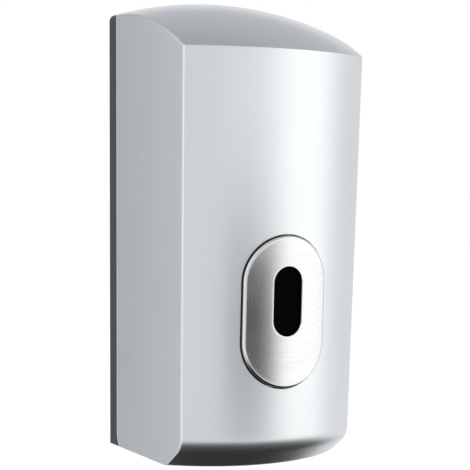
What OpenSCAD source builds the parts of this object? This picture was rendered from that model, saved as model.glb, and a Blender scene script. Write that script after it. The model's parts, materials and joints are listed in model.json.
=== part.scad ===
// Wall mounted push dispenser for liquid soap.
// A tapered cover with a domed crown hinges down off a back plate.
// Behind it a refillable tank feeds a piston pump, worked by an oval push plate in the cover.
// X runs across the body, the front faces -Y, the wall is the plane Y = 0 and Z points up.
// Heights in the modules are measured from the bottom edge of the cover.

/* [Overall size] */
// Height from the bottom edge to the crown
body_h = 272; // [235:1:340]
// Width across the sides, measured at crown height
body_w = 120; // [100:1:150]
// Depth from the wall to the middle of the front, measured at crown height
body_d = 117.6; // [98:0.1:150]
// How far the middle of the front stands in front of its two corners
front_bow = 17.6; // [10:0.1:26]
// Draft of each side wall, in degrees
side_draft = 0.92; // [0:0.02:2]
// Backward lean of the front from bottom to crown, in degrees
front_draft = 0.79; // [0:0.01:2]

/* [Cover] */
// Height of the crown above the edge where the dome meets the front
brow_drop = 34; // [24:1:44]
// Wall thickness of the cover
wall = 2.5; // [2:0.1:3.2]
// Radius of the upright edges between front and sides
edge_r = 2; // [1:0.1:4]
// Radius where the front turns under at the toe
toe_r = 12; // [8:0.5:18]
// Angle from upright to the toe's slanted underside
toe_angle = 48; // [35:1:60]
// Height of the toe's slant
toe_h = 13; // [8:0.5:18]
// Radius of the tip between the slant and the underside
toe_tip_r = 2.5; // [1:0.1:4]
// Gap of the parting line between cover and back plate
seam = 0.4; // [0.3:0.05:1]
// Radius of the hole in the bottom for the nozzle
nozzle_hole_r = 10; // [9:0.5:13]
// Width of the catch tab under the crown
catch_w = 16; // [10:1:24]
// Radius of the key hole in the crown
key_hole_r = 2.5; // [1.5:0.1:3]

/* [Back plate] */
// Depth of the back plate's rim, from the wall to the parting line
base_depth = 9.5; // [9:0.1:16]
// Thickness of the back plate's floor
base_floor = 3; // [2:0.1:4]
// Thickness of the rim
rim_t = 2.5; // [2:0.1:4]
// Radius of the outline's corners
base_corner_r = 4; // [2:0.5:8]
// Distance across between the wall screw holes
hole_dx = 70; // [55:1:80]
// Distance up between the wall screw holes
hole_dz = 160; // [130:1:190]
// Height of the lower wall screw holes
hole_z = 50; // [45:1:56]
// Radius of the wall screw holes
hole_r = 2.5; // [2:0.1:3.5]

/* [Hinge] */
// Distance of the hinge axis from the wall
hinge_depth = 24.5; // [23:0.1:30]
// Height of the hinge axis
hinge_z = 9; // [7.5:0.1:10]
// Radius of the hinge pins
pin_r = 2; // [1.5:0.1:2.5]
// Radius of the hinge bosses and lugs
hinge_boss_r = 5.5; // [4.5:0.1:6]
// Thickness of the hinge lugs
lug_t = 4.2; // [3:0.1:6]

/* [Push plate] */
// Width of the oval push plate
plate_w = 53; // [44:0.5:60]
// Height of the oval push plate
plate_h = 86.4; // [74:0.2:96]
// Height of the push plate's middle
plate_z = 90; // [84:0.5:96]
// How far the plate stands proud of the cover
plate_proud = 2.5; // [1:0.1:4]
// Thickness of the plate's face
plate_t = 2.5; // [2:0.1:3.5]
// Radius of the plate's outer edge
plate_edge_r = 1.4; // [0.6:0.1:2]
// Thickness of the plate's skirt
skirt_t = 2; // [1.5:0.1:2.5]
// Play round the plate in its opening
plate_play = 0.6; // [0.4:0.05:1]
// Working travel of the plate
travel = 10; // [6:0.5:12]
// Width of the sight slot
slot_w = 18.3; // [14:0.1:20]
// Height of the sight slot
slot_h = 39.5; // [30:0.5:42]
// Height of the sight slot's middle above the middle of the plate
slot_rise = 6; // [4:0.5:9]
// Thickness of the sight window
window_t = 2; // [1.5:0.1:3]

/* [Tank] */
// Wall thickness of the tank
tank_wall = 2; // [1.5:0.1:3]
// Radius of the tank's upright edges
tank_corner_r = 8; // [4:0.5:12]
// Space kept above the tank, under the crown
headroom = 67; // [64:1:80]
// Width of the filler mouth
mouth_w = 56; // [40:1:60]
// Depth of the filler mouth, front to back
mouth_d = 30; // [22:1:32]
// Height of the collar round the filler mouth
collar_h = 4; // [3:0.5:6]

/* [Pump] */
// Height of the pump's axis
pump_z = 58; // [55:0.5:60]
// Distance of the nozzle's axis from the wall
nozzle_depth = 50; // [46:0.5:54]
// Radius of the pump's bore
bore_r = 8; // [6.5:0.1:8.5]
// Wall thickness of the pump barrel
barrel_wall = 2.5; // [2:0.1:3]
// Radius of the plunger's rod
rod_r = 3.5; // [2.5:0.1:4]
// Radius of the nozzle's bore at its tip
tip_bore_r = 2.2; // [1.5:0.1:3]
// How far the nozzle's tip stands below the cover
tip_drop = 5; // [3:0.5:6]

/* [Clearances] */
// Gap between pieces that move past each other
run_gap = 0.3; // [0.25:0.05:0.5]
// Radial play of a pin or rod in its bore
pin_play = 0.05; // [0.02:0.01:0.1]
// Radial play of a pressed or screwed fit
fit_play = 0.02; // [0.01:0.01:0.05]

/* [Hidden] */
$fn = 48;
eps = 0.01;
big = 400;

// Outline of the body, at height z
function half_w(z) = body_w / 2 - (body_h - z) * tan(side_draft);
function front_d(z) = body_d - (body_h - z) * tan(front_draft);
function bow_r(z) = (half_w(z)^2 + front_bow^2) / (2 * front_bow);
function bow_y(z) = bow_r(z) - front_d(z);

// Where the front surface, moved in by inset, stands at x and z
function face_y(x, z, inset) = bow_y(z) - sqrt((bow_r(z) - inset)^2 - x^2);

// Crown: a sphere that meets the front in a level edge
brow_z = body_h - brow_drop;
dome_r = (bow_r(brow_z)^2 + brow_drop^2) / (2 * brow_drop);
dome_y = bow_y(brow_z);
dome_z = body_h - dome_r;
brow_margin = 8;

// Parting line and hinge
cover_back = base_depth + seam;
hinge_y = -hinge_depth;
sweep_r = hinge_depth - cover_back;
toe_back = hinge_depth - sqrt((sweep_r + seam)^2 - hinge_z^2);
boss_x = half_w(hinge_z) - wall - 4.4;
lug_x = boss_x - run_gap - lug_t;

// Push plate, from the front back; the plate's own middle height sets the stack
plate_front = -front_d(plate_z);
slot_z = plate_z + slot_rise;
collar_len = 9;
collar_back = plate_front + collar_len;
flange_front = collar_back + run_gap;
flange_t = 2;
flange_back = flange_front + flange_t;
guide_front = flange_back + travel + run_gap;
guide_t = 2;
guide_back = guide_front + guide_t;
collar_t = 2;
window_lap = 3;
flange_lip = plate_play + collar_t - 0.4;
guide_in = flange_lip + run_gap + 0.1;
guide_wall = 2;
guide_rise = (plate_h - plate_w) / 2;
guide_nose = max(collar_back + 0.8,
    face_y(plate_w / 2 + guide_in + guide_wall, plate_z - guide_rise, wall) + run_gap);
boss_r = 4;
screw_x = plate_w / 2 + guide_in + guide_wall + boss_r + 1.4;
screw_dz = 30;
tab_t = 2.5;
tab_front = guide_back - tab_t;
screw_r = 1.5;
spring_x = (plate_w / 2 - skirt_t + slot_w / 2 + 3) / 2;
face_inside = plate_front - plate_proud + plate_t;
spring_post_r = 2;
spring_r = 3;
spring_wire_r = 0.4;
spring_pad_r = spring_r + 0.8;
spring_seat = face_y(spring_x + spring_pad_r, plate_z, plate_t - plate_proud) + 0.4;

// Pump, from the push plate back
boss_len = 16.6;
boss_end = plate_front + boss_len;
head_front = boss_end + run_gap;
head_t = 3;
head_r = 6;
head_way_r = head_r + 5;
spring_solid_len = 7.2;
cap_front = head_front + head_t + travel + spring_solid_len;
cap_wall = 3;
barrel_r = bore_r + barrel_wall;
barrel_front = cap_front + cap_wall + 0.2;
piston_front = barrel_front + 1.3;
piston_t = 7.5;
seal_wire_r = 0.65;
seal_pitch = 3.4;
cap_skirt = 6.5;
seat_r = 8;
nozzle_y = -nozzle_depth;
barrel_back = nozzle_y + seat_r + 2;
chamber_back = nozzle_y + 5;
port_r = 4;

// Valve stack between pump and tank, from the barrel up
nut_z = pump_z + barrel_r + 0.5;
nut_lip = 2.5;
pump_flange_z = nut_z + nut_lip;
pump_flange_t = 2.5;
neck_r = 12.8;
gasket_z = pump_flange_z + pump_flange_t;
gasket_t = 1.5;
neck_z = gasket_z + gasket_t;
neck_h = 9;
tank_z = neck_z + neck_h;
nut_top = tank_z - 0.5;

// Tank and its deck
tank_half_w = half_w(0) - wall - 2;
tank_back = -(base_depth + run_gap);
tank_front = guide_back + 3.3;
tank_d = tank_back - tank_front;
tank_mid_y = (tank_back + tank_front) / 2;
tank_top = body_h - headroom;
deck_t = 3;
deck_lip = 1.7;
deck_play = 0.2;
plug_h = 3;
plug_t = 1.8;
mouth_set = 12;
mouth_y = tank_front + mouth_set + mouth_d / 2;
collar_wall = 2;
collar_top = tank_top + deck_t + collar_h;
seal_t = 1.2;
flap_t = 2.5;
flap_z = collar_top + run_gap + seal_t;
flap_pin_r = 1.5;
flap_knuckle_r = 3.2;
flap_hinge_y = mouth_y + mouth_d / 2 + collar_wall + flap_knuckle_r + 2;
flap_hinge_z = flap_z + flap_t / 2;
flap_ear_t = 3;
flap_half_w = mouth_w / 2 + collar_wall + 2;

// Tank hanger
rail_drop = 21;
rail_z = tank_top - rail_drop;
rail_half_w = 38;
rail_t = 3;
rail_lip = 5;
rail_out = 6.5;

// Latch
latch_drop = 24;
latch_z = body_h - latch_drop;
latch_t = 2;
latch_half_w = 7;
tooth_h = 3;
tooth_y = -28;
catch_t = 2.6;
catch_y = tooth_y + 0.4;
latch_block_t = 5;
latch_block_h = 11;
latch_screw_z = latch_z - 6.5;
latch_screw_x = 6.8;
latch_half_block = 11;

// Nozzle
outlet_r = 8;
outlet_len = 30;
outlet_z = pump_z - outlet_len;
valve_flange_t = 1;
nozzle_flange_t = 2.5;
nozzle_nut_r = 11.5;

// Origin: middle of the four wall screw holes, on the wall
mount_z = hole_z + hole_dz / 2;

module place() {
    translate([0, 0, -mount_z]) children();
}

module rod_x(r, x0, x1, y, z) {
    translate([x0, y, z]) rotate([0, 90, 0]) cylinder(r = r, h = x1 - x0);
}

module rod_y(r, y0, y1, x, z) {
    translate([x, y0, z]) rotate([-90, 0, 0]) cylinder(r = r, h = y1 - y0);
}

module rod_z(r, z0, z1, x, y) {
    translate([x, y, z0]) cylinder(r = r, h = z1 - z0);
}

// Extrudes a drawing of the XZ plane from y0 to y1
module slab_y(y0, y1) {
    translate([0, y1, 0]) rotate([90, 0, 0]) linear_extrude(y1 - y0) children();
}

// Extrudes a drawing of the YZ plane from x0 to x1
module slab_x(x0, x1) {
    translate([x0, 0, 0]) rotate([90, 0, 90]) linear_extrude(x1 - x0) children();
}

module block(x0, x1, y0, y1, z0, z1) {
    translate([x0, y0, z0]) cube([x1 - x0, y1 - y0, z1 - z0]);
}

module both_sides() {
    children();
    mirror([1, 0, 0]) children();
}

module stadium(w, h) {
    square([w, h - w], center = true);
    for (s = [-1, 1])
        translate([0, s * (h - w) / 2]) circle(d = w);
}

module rounded_rect(w, d, r) {
    square([w - 2 * r, d], center = true);
    square([w, d - 2 * r], center = true);
    for (sx = [-1, 1], sy = [-1, 1])
        translate([sx * (w / 2 - r), sy * (d / 2 - r)]) circle(r = r);
}

// The plate's oval grown by grow, in the XZ plane
module plate_oval(grow) {
    translate([0, plate_z]) stadium(plate_w + 2 * grow, plate_h + 2 * grow);
}

// Level section of the body at height z, moved in by inset; setback moves the front arc in further.
// It runs from the back left, along the side and round the front, to the back right.
edge_steps = 4;
bow_steps = 20;
function section(z, inset, setback, back) =
    let (w = half_w(z) - inset,
        r = bow_r(z) - inset - setback,
        e = max(edge_r - inset, 0.5),
        c = [w - e, bow_y(z) - sqrt((r - e)^2 - (w - e)^2)],
        turn = asin((w - e) / (r - e)),
        edge = [for (i = [0:edge_steps]) 90 - (90 - turn) * i / edge_steps])
    [[-w, -back, z],
        for (a = edge) [-c.x - e * sin(a), c.y - e * cos(a), z],
        for (i = [1:bow_steps - 1])
            let (a = turn * (2 * i / bow_steps - 1))
            [r * sin(a), bow_y(z) - r * cos(a), z],
        for (i = [edge_steps:-1:0]) [c.x + e * sin(edge[i]), c.y - e * cos(edge[i]), z],
        [w, -back, z]];

// Skins a stack of level sections that have equally many points
module loft(rings) {
    n = len(rings[0]);
    last = len(rings) - 1;
    polyhedron(
        points = [for (ring = rings) each ring],
        faces = [
            [for (i = [0:n - 1]) i],
            for (k = [0:last - 1], i = [0:n - 1])
                let (j = (i + 1) % n)
                each [[k * n + i, (k + 1) * n + i, (k + 1) * n + j],
                    [k * n + i, (k + 1) * n + j, k * n + j]],
            [for (i = [n - 1:-1:0]) last * n + i]]);
}

// The body without crown or toe, between two heights
module shaft(inset, back, z0, z1) {
    loft([for (z = [z0, (z0 + z1) / 2, z1]) section(z, inset, 0, back)]);
}

// Everything under the crown, with the dome moved in by inset; below the brow it bounds nothing
module crown_bound(inset) {
    translate([0, dome_y, dome_z]) sphere(r = dome_r - inset, $fn = 96);
    block(-big, big, -big, big, -big, brow_z - brow_margin);
}

// The body moved in by inset: rolled and slanted toe, drafted walls and domed crown
toe_start = toe_h + toe_r * tan(toe_angle / 2);
toe_steps = 5;
tip_steps = 3;
module body_form(inset, back, floor_z) {
    r = toe_r - inset;
    tip = max(toe_tip_r - inset, 0.5);
    mid = r - tip;
    tip_z = floor_z + tip;
    tip_d = r - mid * cos(toe_angle) + (toe_start - mid * sin(toe_angle) - tip_z) * tan(toe_angle);
    intersection() {
        loft([
            for (i = [tip_steps:-1:0])
                let (a = toe_angle + (90 - toe_angle) * i / tip_steps)
                section(tip_z - tip * sin(a), inset, tip_d - tip * cos(a), back),
            for (i = [toe_steps:-1:0])
                let (a = toe_angle * i / toe_steps)
                section(toe_start - r * sin(a), inset, r * (1 - cos(a)), back),
            section(body_h / 2, inset, 0, back),
            section(body_h + 1, inset, 0, back)]);
        crown_bound(inset);
    }
}

// ---- Back plate ----

// Outline of the back plate, shrunk by inset. It is rounded below the foot and cut off there,
// so that its lower corners are square.
base_foot = 20;
module base_outline(inset) {
    intersection() {
        offset(r = base_corner_r, $fn = 24) offset(delta = -base_corner_r - inset) base_shape();
        translate([-big, inset]) square([2 * big, big]);
    }
}

module base_shape() {
    intersection() {
        polygon([[-half_w(-base_foot), -base_foot], [half_w(-base_foot), -base_foot],
            [half_w(body_h), body_h], [-half_w(body_h), body_h]]);
        union() {
            translate([0, dome_z]) circle(r = sqrt(dome_r^2 - dome_y^2), $fn = 180);
            translate([-big, -big]) square([2 * big, big + brow_z - brow_margin]);
        }
    }
}

module base_tray() {
    difference() {
        slab_y(-toe_back, 0) base_outline(0);
        slab_y(-toe_back - 1, -base_floor) base_outline(rim_t);
        block(-big, big, -toe_back - 1, -base_depth, hinge_z, big);
        rod_x(sweep_r + seam, -big, big, hinge_y, hinge_z);
    }
}

module hinge_lug() {
    rod_x(hinge_boss_r, lug_x, lug_x + lug_t, hinge_y, hinge_z);
    block(lug_x, lug_x + lug_t, hinge_y, -base_floor + eps, hinge_z - 4, hinge_z + hinge_boss_r);
}

// Rail with an upturned lip that the tank's hooks hang on
module hanger_rail() {
    block(-rail_half_w, rail_half_w, -base_floor - rail_out, -base_floor + eps, rail_z - rail_t, rail_z);
    block(-rail_half_w, rail_half_w, -base_floor - rail_out, -base_floor - rail_out + 1.6,
        rail_z - eps, rail_z + rail_lip);
}

module back_plate() color([0.28, 0.30, 0.32]) place() difference() {
    union() {
        base_tray();
        both_sides() hinge_lug();
        hanger_rail();
        for (x = [-22, 22])
            block(x - 1, x + 1, -base_depth, -base_floor + eps, tank_z + 4, rail_z - rail_t + eps);
        for (sx = [-1, 1], z = [hole_z, hole_z + hole_dz])
            rod_y(7, -base_floor - 3, -base_floor + eps, sx * hole_dx / 2, z);
        difference() {
            rod_y(9, barrel_back + 0.2, -base_floor + eps, 0, pump_z);
            rod_y(6.5, barrel_back + 0.1, -base_floor + 2 * eps, 0, pump_z);
        }
        block(-latch_half_block, latch_half_block, -base_floor - 2, -base_floor + eps,
            latch_z - latch_block_h, latch_z);
    }
    for (sx = [-1, 1], z = [hole_z, hole_z + hole_dz])
        rod_y(hole_r, -base_floor - 4, 1, sx * hole_dx / 2, z);
    both_sides() rod_x(pin_r + fit_play, lug_x - 1, lug_x + lug_t + 1, hinge_y, hinge_z);
    both_sides() rod_y(screw_r + fit_play, -base_floor - 3, -1, latch_screw_x, latch_screw_z);
}

// ---- Hinge and latch ----

module hinge_pins() color("silver") place() both_sides() {
    rod_x(pin_r, lug_x - 0.4, boss_x + 4, hinge_y, hinge_z);
    rod_x(pin_r + 1.3, lug_x - 1.8, lug_x - 0.3, hinge_y, hinge_z);
}

module latch_tongue() color("white") place() difference() {
    union() {
        block(-latch_half_block, latch_half_block, -base_floor - 2 - latch_block_t, -base_floor - 2.02,
            latch_z - latch_block_h, latch_z);
        block(-latch_half_w, latch_half_w, tooth_y - 5, -base_floor - 2 - latch_block_t + eps,
            latch_z - latch_t, latch_z);
        slab_x(-latch_half_w, latch_half_w)
            polygon([[tooth_y, latch_z - eps], [tooth_y - 5, latch_z - eps],
                [tooth_y - 1, latch_z + tooth_h], [tooth_y, latch_z + tooth_h]]);
        // Gusset under the root of the blade
        slab_x(-1.5, 1.5)
            polygon([[-base_floor - 2 - latch_block_t + eps, latch_z - latch_t + eps],
                [-base_floor - 2 - latch_block_t + eps, latch_z - latch_block_h + 1],
                [-base_floor - 2 - latch_block_t - 6, latch_z - latch_t + eps]]);
    }
    both_sides() rod_y(screw_r + 0.2, -base_floor - 12, 0, latch_screw_x, latch_screw_z);
}

module pan_screw(length, head_r_mm) {
    cylinder(r = screw_r, h = length);
    translate([0, 0, -1.8]) cylinder(r = head_r_mm, h = 1.8 + eps);
}

module latch_screws() color("silver") place() both_sides()
    translate([latch_screw_x, -base_floor - 2 - latch_block_t - 0.02, latch_screw_z])
        rotate([-90, 0, 0]) pan_screw(8, 2.8);

// ---- Tank ----

module tank_form(inset, z0, z1) {
    translate([0, tank_mid_y, z0]) linear_extrude(z1 - z0)
        rounded_rect(2 * (tank_half_w - inset), tank_d - 2 * inset, max(tank_corner_r - inset, 1));
}

module tank_hook() {
    for (x = [-28, 28]) {
        block(x - 7, x + 7, -base_floor - 4.4, -base_floor - 1.4, rail_z + 0.3, rail_z + rail_lip + 3.4);
        block(x - 7, x + 7, tank_back - eps, -base_floor - 4.4 + eps,
            rail_z + rail_lip + 0.4, rail_z + rail_lip + 3.4);
    }
}

module tank() color([0.93, 0.95, 0.96]) place() difference() {
    union() {
        tank_form(0, tank_z, tank_top);
        rod_z(neck_r, neck_z, tank_z + eps, 0, nozzle_y);
        tank_hook();
    }
    tank_form(tank_wall, tank_z + 2.5, tank_top + 1);
    rod_z(seat_r + 0.5, neck_z - 1, tank_z + 4, 0, nozzle_y);
}

module mouth_shape(grow, r) {
    rounded_rect(mouth_w + 2 * grow, mouth_d + 2 * grow, r + grow);
}

module tank_deck() color("white") place() difference() {
    union() {
        tank_form(-deck_lip, tank_top - 6, tank_top + deck_t);
        translate([0, mouth_y, tank_top]) linear_extrude(deck_t + collar_h) mouth_shape(collar_wall, 8);
        for (s = [-1, 1]) flap_ear(s);
    }
    // Groove over the tank's wall, between the outer skirt and the shorter inner plug
    tank_form(-deck_play, tank_top - 7, tank_top - plug_h);
    difference() {
        tank_form(-deck_play, tank_top - plug_h - 1, tank_top + fit_play);
        tank_form(tank_wall + deck_play, tank_top - plug_h - 2, tank_top + 1);
    }
    tank_form(tank_wall + deck_play + plug_t, tank_top - 7, tank_top);
    translate([0, mouth_y, tank_top - 7]) linear_extrude(deck_t + collar_h + 10) mouth_shape(0, 8);
    rod_x(flap_pin_r + fit_play, -flap_half_w - 5, flap_half_w + 5, flap_hinge_y, flap_hinge_z);
}

// Ear of the deck that holds one end of the flap's pin
module flap_ear(s) {
    x = s > 0 ? flap_half_w - flap_ear_t : -flap_half_w;
    rod_x(flap_knuckle_r, x, x + flap_ear_t, flap_hinge_y, flap_hinge_z);
    block(x, x + flap_ear_t, flap_hinge_y - flap_knuckle_r, flap_hinge_y + flap_knuckle_r,
        tank_top + deck_t - eps, flap_hinge_z);
}

module flap_pin() color("silver") place()
    rod_x(flap_pin_r, -flap_half_w - 0.5, flap_half_w + 0.5, flap_hinge_y, flap_hinge_z);

module filler_flap() color("white") place() difference() {
    union() {
        translate([0, mouth_y, flap_z]) linear_extrude(flap_t) mouth_shape(collar_wall + 1.5, 8);
        rod_x(flap_knuckle_r, -flap_half_w + flap_ear_t + run_gap, flap_half_w - flap_ear_t - run_gap,
            flap_hinge_y, flap_hinge_z);
        block(-flap_half_w + flap_ear_t + run_gap, flap_half_w - flap_ear_t - run_gap,
            mouth_y + mouth_d / 2 - 2, flap_hinge_y, flap_z, flap_z + flap_t);
        // Finger tab at the front
        block(-10, 10, mouth_y - mouth_d / 2 - collar_wall - 5.5, mouth_y, flap_z, flap_z + flap_t);
    }
    rod_x(flap_pin_r + pin_play, -flap_half_w, flap_half_w, flap_hinge_y, flap_hinge_z);
}

module flap_seal() color([0.85, 0.85, 0.8]) place() translate([0, mouth_y, collar_top + run_gap])
    linear_extrude(seal_t) difference() {
        mouth_shape(collar_wall, 8);
        mouth_shape(-1, 8);
    }

// ---- Pump ----

module union_nut() color([0.25, 0.27, 0.3]) place() translate([0, nozzle_y, 0]) difference() {
    union() {
        rod_z(16, nut_z, nut_top, 0, 0);
        for (a = [0:30:330])
            rotate([0, 0, a]) rod_z(1.2, nut_z + 1, nut_top - 1, 16, 0);
    }
    rod_z(neck_r + 0.15, pump_flange_z, nut_top + 1, 0, 0);
    rod_z(seat_r + 2.3, nut_z - 1, nut_top, 0, 0);
}

module neck_gasket() color([0.8, 0.35, 0.2]) place() translate([0, nozzle_y, 0]) difference() {
    rod_z(neck_r - 0.3, gasket_z, neck_z, 0, 0);
    rod_z(seat_r + 0.2, gasket_z - 1, neck_z + 1, 0, 0);
}

module valve_seat() color("white") place() translate([0, nozzle_y, 0]) difference() {
    rod_z(seat_r, pump_flange_z + 0.5, gasket_z, 0, 0);
    for (a = [0:60:300])
        rotate([0, 0, a]) rod_z(0.9, pump_flange_z, gasket_z + 1, 2.7, 0);
    rod_z(1.2, pump_flange_z, gasket_z + 1, 0, 0);
}

module inlet_valve() color([0.85, 0.85, 0.8]) place() translate([0, nozzle_y, 0]) {
    rod_z(4.4, pump_flange_z - 0.5, pump_flange_z + 0.5, 0, 0);
    rod_z(1.15, pump_flange_z + 0.4, gasket_z + 0.1, 0, 0);
    translate([0, 0, gasket_z]) cylinder(r1 = 1.9, r2 = 0.9, h = 2);
}

module pump_body() color([0.93, 0.95, 0.96]) place() difference() {
    union() {
        rod_y(barrel_r, barrel_front, barrel_back, 0, pump_z);
        rod_z(seat_r + 2, pump_z, gasket_z - eps, 0, nozzle_y);
        rod_z(neck_r - 0.4, pump_flange_z, gasket_z, 0, nozzle_y);
        rod_z(outlet_r, outlet_z, pump_z, 0, nozzle_y);
    }
    rod_y(bore_r, barrel_front - 1, chamber_back, 0, pump_z);
    rod_z(5, pump_z, gasket_z + 1, 0, nozzle_y);
    rod_z(seat_r + fit_play, pump_flange_z + 0.5, gasket_z + 1, 0, nozzle_y);
    rod_z(port_r, outlet_z - 1, pump_z, 0, nozzle_y);
}

module pump_end_cap() color([0.25, 0.27, 0.3]) place() difference() {
    union() {
        rod_y(barrel_r + 2.2, cap_front, barrel_front + cap_skirt, 0, pump_z);
        for (a = [0:30:330])
            translate([0, 0, pump_z]) rotate([0, a, 0])
                rod_y(1, cap_front + 2, barrel_front + cap_skirt - 1, barrel_r + 2.2, 0);
    }
    rod_y(rod_r + pin_play, cap_front - 1, barrel_front, 0, pump_z);
    rod_y(barrel_r + 0.05, cap_front + cap_wall, barrel_front + 10, 0, pump_z);
}

module plunger() color("white") place() difference() {
    union() {
        rod_y(head_r, head_front, head_front + head_t, 0, pump_z);
        rod_y(rod_r, head_front + head_t - eps, piston_front + eps, 0, pump_z);
        rod_y(bore_r - run_gap, piston_front, piston_front + piston_t, 0, pump_z);
    }
    for (i = [0, 1])
        translate([0, 0, pump_z]) rotate([90, 0, 0])
            translate([0, 0, -(piston_front + 1.2 + seal_pitch * i) - 1.7])
                difference() {
                    cylinder(r = bore_r + 1, h = 1.7);
                    translate([0, 0, -1]) cylinder(r = bore_r - 1.4, h = 4);
                }
}

module piston_seals() color([0.15, 0.15, 0.16]) place()
    for (i = [0, 1])
        translate([0, piston_front + 1.2 + seal_pitch * i + 0.85, pump_z]) rotate([90, 0, 0])
            rotate_extrude() translate([bore_r - seal_wire_r - 0.1, 0]) circle(r = seal_wire_r, $fn = 24);

// Round wire coiled along Z: turns rise from z = 0 to z = length, ends ground flat by the seats
module coil(mean_r, wire_r, length, turns, steps = 14, sides = 8) {
    n = turns * steps;
    rise = length - 2 * wire_r;
    ring_at = [for (i = [0:n])
        let (a = 360 * i / steps, z = wire_r + rise * i / n)
        [for (k = [0:sides - 1])
            let (b = 360 * k / sides, r = mean_r + wire_r * cos(b))
            [r * cos(a), r * sin(a), z + wire_r * sin(b)]]];
    polyhedron(
        points = [for (ring = ring_at) each ring],
        faces = [
            [for (k = [0:sides - 1]) k],
            for (i = [0:n - 1], k = [0:sides - 1])
                let (m = (k + 1) % sides)
                each [[i * sides + k, (i + 1) * sides + k, (i + 1) * sides + m],
                    [i * sides + k, (i + 1) * sides + m, i * sides + m]],
            [for (k = [sides - 1:-1:0]) n * sides + k]]);
}

module return_spring() color("silver") place()
    translate([0, cap_front - 0.05, pump_z]) rotate([90, 0, 0])
        coil(rod_r + 1.6, 0.45, cap_front - head_front - head_t - 0.35, 6);

module outlet_valve() color([0.85, 0.85, 0.8]) place() translate([0, nozzle_y, 0]) difference() {
    union() {
        rod_z(outlet_r - 0.2, outlet_z - valve_flange_t, outlet_z, 0, 0);
        rod_z(3.6, outlet_z - 5, outlet_z - valve_flange_t + eps, 0, 0);
        intersection() {
            rod_z(3.6, outlet_z - 11, outlet_z - 5 + eps, 0, 0);
            slab_x(-4, 4) polygon([[-3.6, outlet_z - 5 + eps], [3.6, outlet_z - 5 + eps],
                [0.5, outlet_z - 11], [-0.5, outlet_z - 11]]);
        }
    }
    rod_z(2.6, outlet_z - 5, outlet_z + 1, 0, 0);
}

module nozzle() color([0.28, 0.30, 0.32]) place() translate([0, nozzle_y, 0])
    rotate_extrude() {
        flange_z = outlet_z - valve_flange_t;
        polygon([[4, flange_z], [outlet_r - 0.2, flange_z], [outlet_r - 0.2, flange_z - nozzle_flange_t],
            [5.4, flange_z - nozzle_flange_t], [5.4, 6], [4, -tip_drop], [tip_bore_r, -tip_drop],
            [tip_bore_r, 2], [4, 8]]);
    }

module nozzle_nut() color([0.25, 0.27, 0.3]) place() translate([0, nozzle_y, 0]) difference() {
    lip_z = outlet_z - valve_flange_t - nozzle_flange_t;
    union() {
        rod_z(nozzle_nut_r - 0.6, lip_z - 2.5, outlet_z + 9, 0, 0);
        for (a = [0:30:330])
            rotate([0, 0, a]) rod_z(1, lip_z - 1.5, outlet_z + 8, nozzle_nut_r - 0.7, 0);
    }
    rod_z(outlet_r + 0.05, lip_z, outlet_z + 10, 0, 0);
    rod_z(5.6, lip_z - 3, outlet_z, 0, 0);
}

// ---- Cover ----

// Everything behind the hinge that would strike the back plate as the cover swings down
module toe_trim() {
    difference() {
        block(-big, big, hinge_y, 1, -1, hinge_z);
        rod_x(sweep_r, -big, big, hinge_y, hinge_z);
    }
}

module front_cover() color([0.78, 0.80, 0.83]) place() difference() {
    union() {
        difference() {
            body_form(0, cover_back, 0);
            body_form(wall, -1, wall);
        }
        // Collar round the push plate and bosses for its guide, run into the curved front
        intersection() {
            shaft(wall / 2, 0, 20, 200);
            union() {
                difference() {
                    slab_y(-body_d, collar_back) plate_oval(plate_play + collar_t);
                    slab_y(-body_d - 1, collar_back + 1) plate_oval(plate_play);
                }
                guide_screw_rods(boss_r, -body_d, tab_front - fit_play);
            }
        }
        // Hinge bosses on the side walls
        both_sides() rod_x(hinge_boss_r, boss_x, half_w(hinge_z) - wall / 2, hinge_y, hinge_z);
        // Catch tab under the crown
        intersection() {
            crown_bound(wall / 2);
            union() {
                block(-catch_w / 2, catch_w / 2, catch_y, catch_y + catch_t, latch_z + 0.4, body_h);
                both_sides() block(catch_w / 2 - 2, catch_w / 2, tooth_y - 8, tooth_y + 1,
                    latch_z + tooth_h + 6, body_h);
            }
        }
    }
    slab_y(-body_d - 10, plate_front + 20) plate_oval(plate_play);
    rod_z(nozzle_hole_r, -1, wall + 1, 0, nozzle_y);
    both_sides() block(lug_x - 2.5, boss_x - 0.05, hinge_y - hinge_boss_r - 1.5, 0, -1, wall + 0.6);
    both_sides() rod_x(pin_r + pin_play, boss_x - 1, boss_x + 4.2, hinge_y, hinge_z);
    guide_screw_rods(screw_r + fit_play, tab_front - 6.5, tab_front + 1);
    rod_z(key_hole_r, body_h - 12, body_h + 5, 0, tooth_y + 10);
    toe_trim();
}

// A rod at each of the four screws that hold the guide frame
module guide_screw_rods(r, y0, y1) {
    for (s = [-1, 1])
        both_sides() rod_y(r, y0, y1, screw_x, plate_z + s * screw_dz);
}

// Cup behind the push plate that stops it and guides its flange
module guide_frame() color([0.28, 0.30, 0.32]) place() difference() {
    union() {
        slab_y(guide_nose, guide_back) plate_oval(guide_in + guide_wall);
        for (s = [-1, 1]) both_sides() {
            rod_y(boss_r, tab_front, tab_front + tab_t, screw_x, plate_z + s * screw_dz);
            block(plate_w / 2, screw_x, tab_front, tab_front + tab_t,
                plate_z + s * screw_dz - boss_r, plate_z + s * screw_dz + boss_r);
        }
    }
    slab_y(collar_back, guide_front) plate_oval(guide_in);
    slab_y(collar_back, guide_back + 1) translate([0, plate_z - 4]) stadium(slot_w + 6.4, plate_h - 12);
    rod_y(head_way_r, collar_back, guide_back + 1, 0, pump_z);
    guide_screw_rods(screw_r + 0.2, tab_front - 1, tab_front + tab_t + 1);
}

module guide_screws() color("silver") place()
    for (s = [-1, 1]) both_sides()
        translate([screw_x, tab_front + tab_t + 0.02, plate_z + s * screw_dz])
            rotate([90, 0, 0]) pan_screw(8, 3);

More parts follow.
